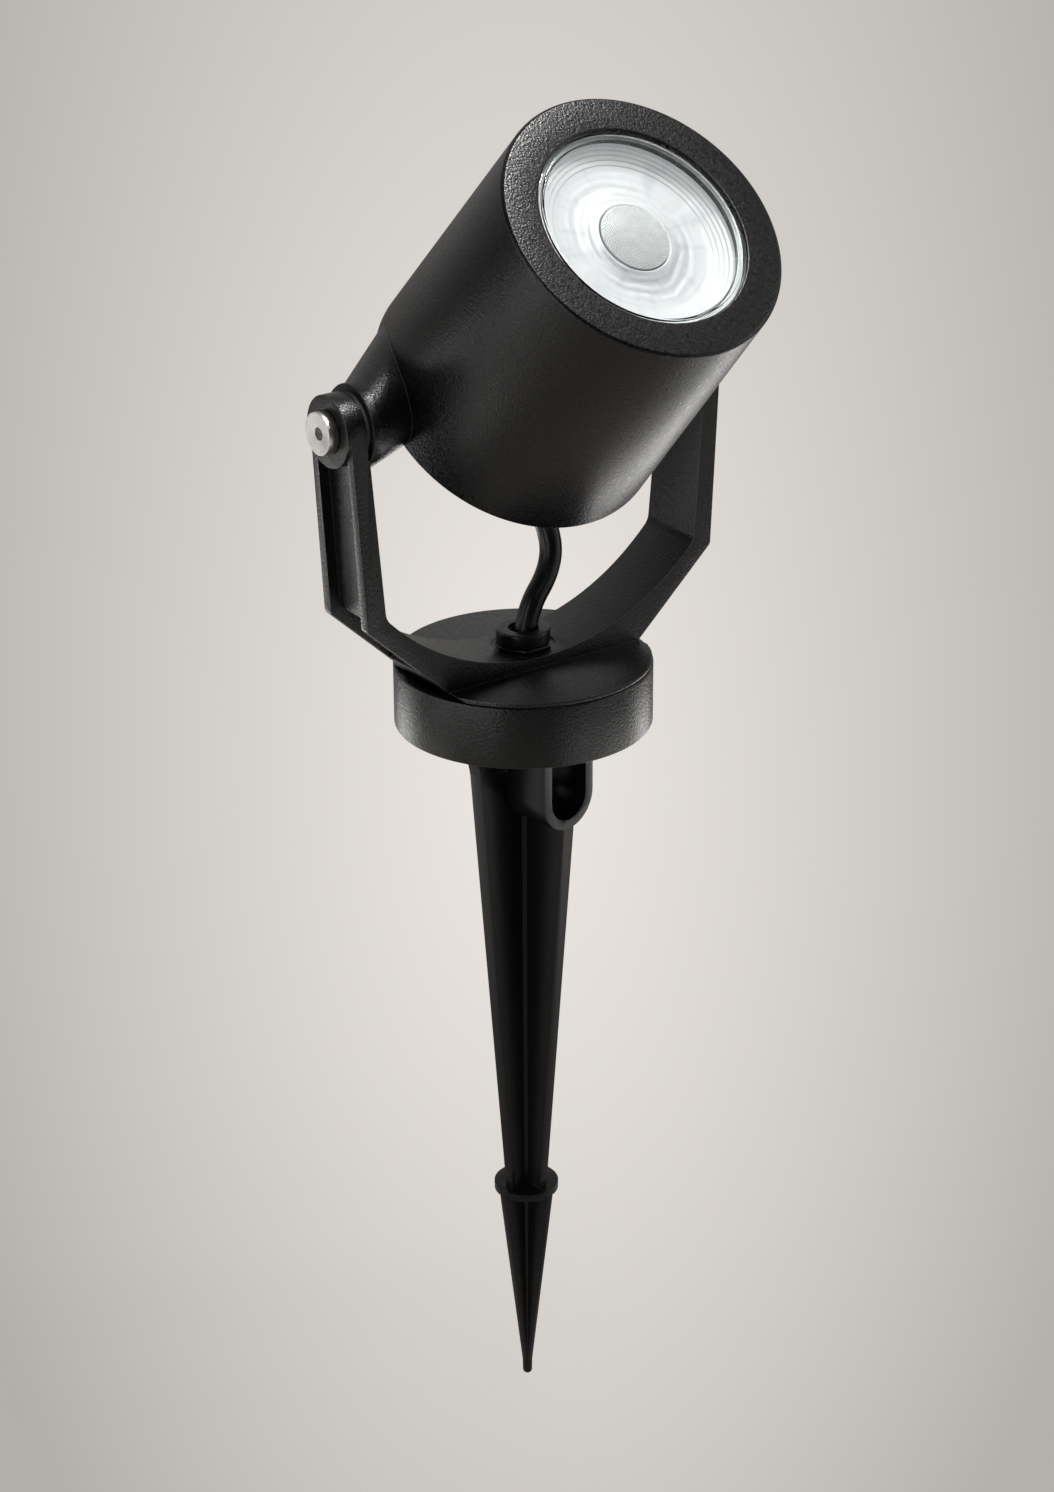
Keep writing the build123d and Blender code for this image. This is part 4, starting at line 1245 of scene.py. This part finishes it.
@dataclass
class PlantedBase:
    """Spike, plate, drum and the pieces in them; it stays still."""

    shop: Workshop
    drum_radius: float = 46.0
    drum_height: float = 22.5
    cavity_radius: float = 38.0
    recess_radius: float = 41.3
    rim_radius: float = 42.4
    deck_top: float = 18.2
    deck_bottom: float = 14.5
    bush_radius: float = 10.0
    edge: float = 0.7
    screw_circle: float = 32.0

    def build(self) -> None:
        """Build and dress everything that stays in the ground."""
        self._spike()
        self._drum()
        self._screws()
        self._hidden()

    def _spike(self) -> None:
        """Moulded spike with eased edges."""
        self.shop.piece("spike", eased_copy("ground_spike", 0.35), SPIKE_PLASTIC, Body.BASE, ["ground_spike"])

    def _drum(self) -> None:
        """Turned drum with softly rounded rims."""
        outline = [
            (self.recess_radius, 0.0),
            (self.drum_radius, 0.0),
            (self.drum_radius, self.drum_height),
            (self.rim_radius, self.drum_height),
            (self.rim_radius, self.deck_top),
            (self.bush_radius, self.deck_top),
            (self.bush_radius, self.deck_bottom),
            (self.cavity_radius, self.deck_bottom),
            (self.cavity_radius, 4.6),
            (self.recess_radius, 4.6),
        ]
        mesh = lathe(rounded(outline, self.edge), 192, UPRIGHT)
        self.shop.piece("drum", mesh, COAT, Body.BASE, ["base_drum"])

    def _screws(self) -> None:
        """Pan-head screws under the plate."""
        head = [(0.0, -2.4), (1.8, -2.4), (3.1, -2.0), (3.9, -0.9), (3.9, 0.0), (0.0, 0.0)]
        screw = joined([lathe(head, 32, UPRIGHT, closed=False), hexagon(2.2, -2.45, -1.0, 0.05)])
        tree = screw_ring_tree(self.shop.finishes.get(STEEL))
        values = {"Count": 4, "Circle": self.screw_circle * MM, "Start": math.radians(54.0), "Level": 0.0}
        self.shop.piece(
            "plate_screws", grown(tree, screw, values, UPRIGHT), STEEL, Body.BASE, ["spike_screws"]
        )

    def _hidden(self) -> None:
        """Dress the small parts inside the drum."""
        self.shop.dress(GLAND_PLASTIC, "inlet_gland_body", "inlet_gland_nut", "swivel_bush")
        self.shop.dress(SEAL_RUBBER, "base_gasket", "inlet_seal")
        self.shop.dress(TERMINAL_PLASTIC, "terminal_block")
        self.shop.dress(STEEL, "terminal_screws", "earth_screw")


@dataclass
class YokeAssembly:
    """Cast yoke, its swivel and the gland on its foot."""

    shop: Workshop
    web_top: float = 27.8
    hex_flats: float = 18.2
    hex_height: float = 1.4
    cap_radius: float = 9.6
    cap_height: float = 5.3
    cap_hole: float = 5.2

    def build(self) -> None:
        """Build and dress everything that turns with the yoke."""
        self.shop.piece("yoke_casting", eased_copy("yoke", 0.55), COAT, Body.YOKE, ["yoke"])
        self._gland()
        self.shop.dress(STEEL, "swivel_nipple", "swivel_nut")
        self.shop.dress(SEAL_RUBBER, "swivel_seal", "foot_gland_seal")
        self.shop.dress(WASHER_PLASTIC, "friction_washer")
        self.shop.dress(GLAND_PLASTIC, "ear_bushes")

    def _gland(self) -> None:
        """Hexagon body and round cap with a turned-in lip."""
        top = self.web_top + self.hex_height
        blank = hexagon(self.hex_flats, self.web_top, top, 0.35)
        collar = lathe(
            rounded([(4.9, top - 0.2), (7.8, top - 0.2), (7.8, top + 2.2), (4.9, top + 2.2)], 0.2),
            48,
            UPRIGHT,
        )
        self.shop.piece(
            "foot_gland_hex", joined([blank, collar]), GLAND_PLASTIC, Body.YOKE, ["foot_gland_body"]
        )
        cap_top = top + self.cap_height
        outline = [
            (self.cap_hole, cap_top - 1.1),
            (7.85, cap_top - 1.1),
            (7.85, top),
            (self.cap_radius, top),
            (self.cap_radius, cap_top),
            (self.cap_hole, cap_top),
        ]
        self.shop.piece(
            "foot_gland_round",
            lathe(rounded(outline, 0.9, 5), 96, UPRIGHT),
            GLAND_PLASTIC,
            Body.YOKE,
            ["foot_gland_cap"],
        )


@dataclass
class HeadAssembly:
    """The tilting head: can, ring, glass, light source, rear cover and pivots."""

    shop: Workshop
    front: float = 96.9
    rear: float = -6.5
    front_radius: float = 49.2
    rear_radius: float = 52.85
    rear_chamfer: float = 3.5
    wall: float = 3.6
    ring_depth: float = 1.2
    opening: float = 36.5
    glass_radius: float = 35.3
    lug_radius: float = 14.5
    lug_face: float = 69.8
    lug_neck: float = 66.0
    lug_root_x: float = 40.0
    lug_root_y: float = 14.0
    lug_root_half: tuple[float, float] = (20.0, 13.0)

    def build(self) -> None:
        """Build and dress everything that tilts."""
        self._can()
        self._ring()
        self._window()
        self._light_source()
        self._rear()
        self._pivots()

    def radius_at(self, height: float) -> float:
        """Outer radius of the can at a height along its axis."""
        slope = (self.rear_radius - self.front_radius) / (self.front - self.rear - self.rear_chamfer)
        return self.front_radius + slope * (self.front - height)

    def _can(self) -> None:
        """Tapered can with its two side lugs."""
        seam = self.front - self.ring_depth
        outline = [
            (45.0, self.rear),
            (45.0, -0.3),
            (36.0, -0.3),
            (36.0, 6.0),
            (self.radius_at(6.0) - self.wall, 6.0),
            (self.radius_at(66.0) - self.wall, 66.0),
            (41.0, 66.0),
            (41.0, 70.0),
            (42.55, 70.0),
            (42.55, 90.0),
            (44.95, 90.0),
            (44.95, 85.7),
            (47.05, 85.7),
            (47.05, seam),
            (self.radius_at(seam), seam),
            (self.rear_radius, self.rear + self.rear_chamfer),
            (self.rear_radius - self.rear_chamfer, self.rear),
        ]
        shell = lathe(rounded(outline, 0.35, 3), 256, HEAD_PLACE)
        lugs = [self._lug(1), self._lug(-1)]
        self.shop.piece("can", joined([shell, *lugs]), COAT, Body.HEAD, ["head_housing"])

    def _lug(self, side: int) -> bpy.types.Mesh:
        """Flared boss on one side, cut flat at the rear.

        Args:
            side: 1 for +X, -1 for -X.

        Returns:
            The lug's mesh.
        """
        steps = 96
        edge = 0.6
        half_y, half_z = self.lug_root_half
        sections = [
            (self.lug_root_x, self.lug_root_y, half_y, half_z),
            (self.lug_neck, 0.0, self.lug_radius, self.lug_radius),
            (self.lug_face - edge, 0.0, self.lug_radius, self.lug_radius),
            (self.lug_face - 0.3 * edge, 0.0, self.lug_radius - 0.3 * edge, self.lug_radius - 0.3 * edge),
            (self.lug_face, 0.0, self.lug_radius - edge, self.lug_radius - edge),
        ]
        bm = bmesh.new()
        loops = []
        for x, centre_y, reach_y, reach_z in sections:
            around = [((centre_y + reach_y * c) * MM, reach_z * s * MM) for c, s in circle(steps)]
            loops.append([bm.verts.new((side * x * MM, y, z)) for y, z in around])
        for lower, upper in zip(loops, loops[1:]):
            for i in range(steps):
                j = (i + 1) % steps
                bm.faces.new((lower[i], lower[j], upper[j], upper[i]))
        bm.faces.new(loops[-1])
        bm.faces.new(loops[0])
        cut = bmesh.ops.bisect_plane(
            bm,
            geom=bm.verts[:] + bm.edges[:] + bm.faces[:],
            plane_co=(0, 0, self.rear * MM),
            plane_no=(0, 0, -1),
            clear_outer=True,
        )
        rim = [e for e in cut["geom_cut"] if isinstance(e, bmesh.types.BMEdge)]
        bmesh.ops.contextual_create(bm, geom=rim)
        bmesh.ops.recalc_face_normals(bm, faces=bm.faces)
        return finished_mesh(bm, HEAD_PLACE)

    def _ring(self) -> None:
        """Screwed-on front ring with a rounded outer edge."""
        seam = self.front - self.ring_depth
        outline = [
            (self.opening, 94.2),
            (45.0, 94.2),
            (45.0, 86.0),
            (47.0, 86.0),
            (47.0, seam),
            (self.radius_at(seam), seam),
            (self.front_radius, self.front - 0.9),
            (self.front_radius - 0.40, self.front - 0.38),
            (self.front_radius - 0.95, self.front),
            (self.opening, self.front),
        ]
        self.shop.piece(
            "bezel_ring", lathe(rounded(outline, 0.8, 5), 256, HEAD_PLACE), COAT, Body.HEAD, ["front_ring"]
        )

    def _window(self) -> None:
        """Stepped glass: a flange under the ring and a raised window."""
        outline = [
            (0.0, 94.2),
            (33.9, 94.2),
            (34.1, 91.6),
            (44.2, 91.6),
            (44.2, 93.4),
            (self.glass_radius, 93.4),
            (self.glass_radius, 96.2),
            (0.0, 96.2),
        ]
        profile = rounded(outline, 0.45, 4, closed=False)
        self.shop.piece(
            "window", lathe(profile, 192, HEAD_PLACE, closed=False), GLASS, Body.HEAD, ["front_glass"]
        )
        self.shop.dress(SEAL_RUBBER, "glass_gasket")

    def _light_source(self) -> None:
        """Reflector dish, dimpled centre lens and what sits behind them."""
        dish = [
            (12.15, 88.2),
            (12.7, 88.9),
            (13.6, 88.75),
            (16.0, 87.6),
            (20.0, 87.2),
            (26.0, 87.6),
            (28.2, 87.95),
            (28.4, 88.25),
            (29.9, 88.4),
            (30.1, 88.75),
            (31.5, 88.9),
            (31.7, 89.3),
            (32.9, 89.45),
            (33.1, 90.0),
            (34.2, 90.2),
            (34.5, 91.55),
            (44.0, 91.55),
            (44.0, 90.0),
            (42.2, 90.0),
            (42.2, 88.4),
            (33.6, 86.9),
            (22.0, 85.5),
            (13.5, 85.0),
            (12.15, 85.4),
        ]
        self.shop.piece(
            "reflector_dish",
            lathe(rounded(dish, 0.3, 3), 192, HEAD_PLACE),
            REFLECTOR,
            Body.HEAD,
            ["reflector"],
        )
        top, crown, radius = 91.0, 1.7, 12.0
        dome_radius = (radius**2 + crown**2) / (2 * crown)
        profile = [(0.0, 83.1), (3.8, 83.1), (3.8, 81.7), (8.5, 81.7), (12.0, 87.3), (12.0, 89.3)]
        for k in range(1, 13):
            r = radius * (1 - k / 12)
            profile.append((r, top - dome_radius + math.sqrt(dome_radius**2 - r**2)))
        self.shop.piece(
            "centre_lens", lathe(profile, 96, HEAD_PLACE, closed=False), OPTIC, Body.HEAD, ["led_optic"]
        )
        tree = lens_dots_tree(self.shop.finishes.get(OPTIC_BEADS))
        values = {
            "Count": 720,
            "Radius": 0.0117,
            "Top": top * MM,
            "Dome radius": dome_radius * MM,
            "Bead": 0.00034,
        }
        self.shop.piece(
            "lens_beads",
            grown(tree, bpy.data.meshes.new("seed"), values, HEAD_PLACE),
            OPTIC_BEADS,
            Body.HEAD,
        )
        self.shop.dress(TERMINAL_PLASTIC, "optic_holder")
        self.shop.dress(PHOSPHOR, "led_chip")
        self.shop.dress(BOARD_COAT, "led_board")
        self.shop.dress(CASTING, "heat_sink")
        self.shop.dress(GLAND_PLASTIC, "driver")

    def _rear(self) -> None:
        """Rear cover, its screws and the gland of the lead."""
        cover = [(0.0, -5.6), (44.7, -5.6), (44.7, -1.1), (0.0, -1.1)]
        self.shop.piece(
            "back_cover",
            lathe(rounded(cover, 0.6, 4, closed=False), 128, HEAD_PLACE, closed=False),
            COAT,
            Body.HEAD,
            ["rear_cover"],
        )
        head = [(0.0, -7.4), (1.6, -7.4), (2.8, -7.1), (3.4, -6.4), (3.4, -5.6), (0.0, -5.6)]
        screw = joined([lathe(head, 32, UPRIGHT, closed=False), hexagon(2.0, -7.45, -6.2, 0.05)])
        tree = screw_ring_tree(self.shop.finishes.get(STEEL))
        values = {"Count": 4, "Circle": 40.5 * MM, "Start": math.radians(45.0), "Level": 0.0}
        self.shop.piece(
            "cover_screws", grown(tree, screw, values, HEAD_PLACE), STEEL, Body.HEAD, ["rear_screws"]
        )
        place = HEAD_PLACE @ Matrix.Translation((0, -12.0 * MM, 0))
        blank = hexagon(16.0, -8.4, -5.6, 0.3)
        blank.transform(place)
        self.shop.piece("back_gland_hex", blank, GLAND_PLASTIC, Body.HEAD, ["rear_gland_body"])
        outline = [(5.0, -12.4), (7.8, -12.4), (7.8, -8.4), (6.45, -8.4), (6.45, -11.0), (5.0, -11.0)]
        self.shop.piece(
            "back_gland_round",
            lathe(rounded(outline, 0.7, 5), 72, place),
            GLAND_PLASTIC,
            Body.HEAD,
            ["rear_gland_cap"],
        )
        self.shop.dress(GLAND_PLASTIC, "rear_gland_nut")
        self.shop.dress(SEAL_RUBBER, "rear_gasket", "rear_gland_seal")

    def _pivots(self) -> None:
        """Turned pivot screws with a sunk conical face and a hexagon socket."""
        outline = [
            (0.0, 78.0),
            (7.3, 78.7),
            (7.3, 82.5),
            (6.9, 82.5),
            (2.35, 82.05),
            (2.2, 82.0),
        ]
        socket = [(2.2, 82.0), (2.2, 79.9), (0.0, 79.9)]
        meshes = []
        for side in (1, -1):
            turn = Matrix.Translation((0, 0, PIVOT_Z * MM)) @ Matrix.Rotation(math.radians(90 * side), 4, "Y")
            face = lathe(rounded(outline, 0.35, 4, closed=False), 96, turn, closed=False)
            well = lathe(socket, 6, turn, closed=False)
            shank = lathe([(0.0, 58.0), (5.0, 58.0), (5.0, 78.8), (0.0, 78.8)], 48, turn, closed=False)
            meshes += [face, well, shank]
        self.shop.piece("pivot_bolts", joined(meshes), TURNED, Body.HEAD, ["pivot_screws"])
        self.shop.dress(WASHER_PLASTIC, "pivot_washers")


@dataclass
class Lead:
    """Short rubber lead from the head down to the foot; it rides on no body."""

    shop: Workshop
    radius: float = 4.0
    gland_y: float = -12.0
    middle: tuple[tuple[float, float, float], ...] = ((7.5, 11.5, 86.0), (17.0, 9.5, 69.5), (17.0, 4.5, 53.5))
    entry: tuple[float, float, float] = (0.1, 0.0, 38.2)
    end: tuple[float, float, float] = (0.0, 0.0, 22.0)

    def build(self) -> bpy.types.Object:
        """Returns:
            The lead.
        """
        start = HEAD_PLACE @ Vector((0, self.gland_y * MM, 0))
        outside = HEAD_PLACE @ Vector((0, self.gland_y * MM, -17.0 * MM))
        route = [start, outside] + [Vector(p) * MM for p in (*self.middle, self.entry, self.end)]
        line = self._spline_points(route)
        lead = self.shop.piece(
            "flex_lead", tube_mesh(line, self.radius * MM, 32), LEAD_RUBBER, None, ["head_cable"]
        )
        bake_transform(lead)
        return lead

    def _spline_points(self, route: Sequence[Vector]) -> list[Vector]:
        """Points read from a smooth spline through the route's control points.

        Args:
            route: control points in metres.

        Returns:
            Points along the spline.
        """
        curve = bpy.data.curves.new("lead_line", "CURVE")
        curve.dimensions = "3D"
        spline = curve.splines.new("NURBS")
        spline.points.add(len(route) - 1)
        for point, co in zip(spline.points, route):
            point.co = (*co, 1.0)
        spline.order_u = 3
        spline.use_endpoint_u = True
        curve.resolution_u = 20
        holder = bpy.data.objects.new("lead_line", curve)
        bpy.context.scene.collection.objects.link(holder)
        mesh = evaluated_mesh(holder)
        points = [v.co.copy() for v in mesh.vertices]
        bpy.data.objects.remove(holder)
        bpy.data.meshes.remove(mesh)
        return points


# ------------------------------------------------------------------ studio


@dataclass(frozen=True)
class SoftBox:
    """One soft studio lamp that faces a point."""

    name: str
    place: tuple[float, float, float]
    aim: tuple[float, float, float]
    width: float
    height: float
    watts: float
    colour: tuple[float, float, float] = (1.0, 0.99, 0.975)

    def light(self) -> None:
        """Put the lamp in the scene."""
        data = bpy.data.lights.new(self.name, "AREA")
        data.shape = "RECTANGLE"
        data.size = self.width
        data.size_y = self.height
        data.energy = self.watts
        data.color = self.colour
        lamp = bpy.data.objects.new(self.name, data)
        lamp.location = self.place
        heading = Vector(self.aim) - Vector(self.place)
        lamp.rotation_euler = heading.to_track_quat("-Z", "Y").to_euler()
        lamp.visible_camera = False
        bpy.context.scene.collection.objects.link(lamp)


def strip(name: str, place: tuple[float, float, float], watts: float) -> SoftBox:
    """Tall side lamp that faces the middle of the object."""
    return SoftBox(name, place, (0.0, 0.0, 0.2), 0.16, 0.9, watts)


def card(name: str, x: float, y: float, watts: float) -> SoftBox:
    """Pale card near the floor that throws light straight up."""
    return SoftBox(name, (x, y, -0.27), (x, y, 1.0), 0.3, 0.3, watts)


@dataclass(frozen=True)
class StudioCamera:
    """Camera at the photograph's angle."""

    azimuth: float = 36.0
    elevation: float = 22.03
    distance: float = 1.10765
    aim: tuple[float, float, float] = (0.0, 0.0, 0.0225)
    yaw: float = 0.06
    pitch: float = -1.6
    roll: float = -0.35
    lens: float = 107.08

    def place(self) -> None:
        """Make the camera and use it."""
        az, el = math.radians(self.azimuth), math.radians(self.elevation)
        away = Vector((-math.sin(az) * math.cos(el), -math.cos(az) * math.cos(el), math.sin(el)))
        ahead = -away
        right = Vector((math.cos(az), -math.sin(az), 0.0))
        up = right.cross(ahead)
        ya, pi, ro = math.radians(self.yaw), math.radians(self.pitch), math.radians(self.roll)
        look = ahead * (math.cos(pi) * math.cos(ya))
        look += right * (math.sin(ya) * math.cos(pi))
        look += up * math.sin(pi)
        right = look.cross(up).normalized()
        up = right.cross(look)
        turned_right = right * math.cos(ro) + up * math.sin(ro)
        turned_up = up * math.cos(ro) - right * math.sin(ro)
        data = bpy.data.cameras.new("studio_camera")
        data.sensor_fit = "HORIZONTAL"
        data.sensor_width = 36.0
        data.lens = self.lens
        data.clip_end = 50.0
        camera = bpy.data.objects.new("studio_camera", data)
        basis = Matrix((turned_right, turned_up, -look)).transposed().to_4x4()
        camera.matrix_world = Matrix.Translation(Vector(self.aim) + away * self.distance) @ basis
        bpy.context.scene.collection.objects.link(camera)
        bpy.context.scene.camera = camera


@dataclass
class Studio:
    """Pale seamless paper and soft lamps."""

    finishes: Finishes
    floor_z: float = -0.2835
    floor_size: float = 12.0
    lamps: tuple[SoftBox, ...] = (
        strip("left_strip_near", (-0.777, -0.346, 0.2), 1.0),
        strip("left_strip_mid", (-0.848, -0.059, 0.2), 0.99),
        strip("left_strip_far", (-0.817, 0.234, 0.2), 0.97),
        strip("right_strip_near", (0.475, -0.705, 0.2), 0.3),
        strip("right_strip_far", (0.720, -0.420, 0.35), 0.9),
        SoftBox("top_soft", (0.013, -0.245, 0.761), (0.0, -0.06, 0.19), 0.2, 0.2, 1.28),
        SoftBox("ring_glow", (0.103, -0.060, 0.489), (-0.02, -0.045, 0.21), 0.04, 0.04, 0.64),
        SoftBox("face_soft", (0.0, -0.47, 0.62), (0.0, -0.067, 0.192), 0.3, 0.3, 0.25),
        card("card_back_left", -0.158, 0.548, 0.93),
        card("card_back", 0.327, 0.195, 0.78),
        card("card_back_right", 0.570, 0.019, 0.9),
        card("card_right", 0.364, -0.265, 0.5),
        card("card_left", -0.364, 0.265, 0.22),
        card("card_front_right", 0.158, -0.548, 0.35),
        SoftBox("card_side", (-0.219, 0.188, 0.028), (-0.083, 0.0, 0.1), 0.12, 0.12, 0.045),
    )

    def build(self) -> None:
        """Build the floor, the world and the lamps."""
        bm = bmesh.new()
        bmesh.ops.create_grid(bm, x_segments=1, y_segments=1, size=self.floor_size / 2)
        floor = bpy.data.objects.new(
            "studio_floor", finished_mesh(bm, Matrix.Translation((0, 0, self.floor_z)))
        )
        floor.data.materials.append(self.finishes.get(StageFinish()))
        bpy.context.scene.collection.objects.link(floor)
        bpy.context.scene.world = StudioAir().world()
        for lamp in self.lamps:
            lamp.light()
        bpy.context.scene.view_settings.view_transform = "Standard"


def main() -> None:
    """Build the studio and the lamp in order."""
    logging.basicConfig(level=logging.INFO, format="%(name)s %(message)s")
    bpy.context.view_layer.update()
    finishes = Finishes()
    shop = Workshop(finishes)
    StudioCamera().place()
    Lead(shop).build()
    Studio(finishes).build()
    steps: list[tuple[str, Callable[[], None]]] = [
        ("planted base", PlantedBase(shop).build),
        ("yoke", YokeAssembly(shop).build),
        ("head", HeadAssembly(shop).build),
    ]
    for name, build in steps:
        LOG.info("building the %s", name)
        build()


if __name__ == "__main__":
    main()
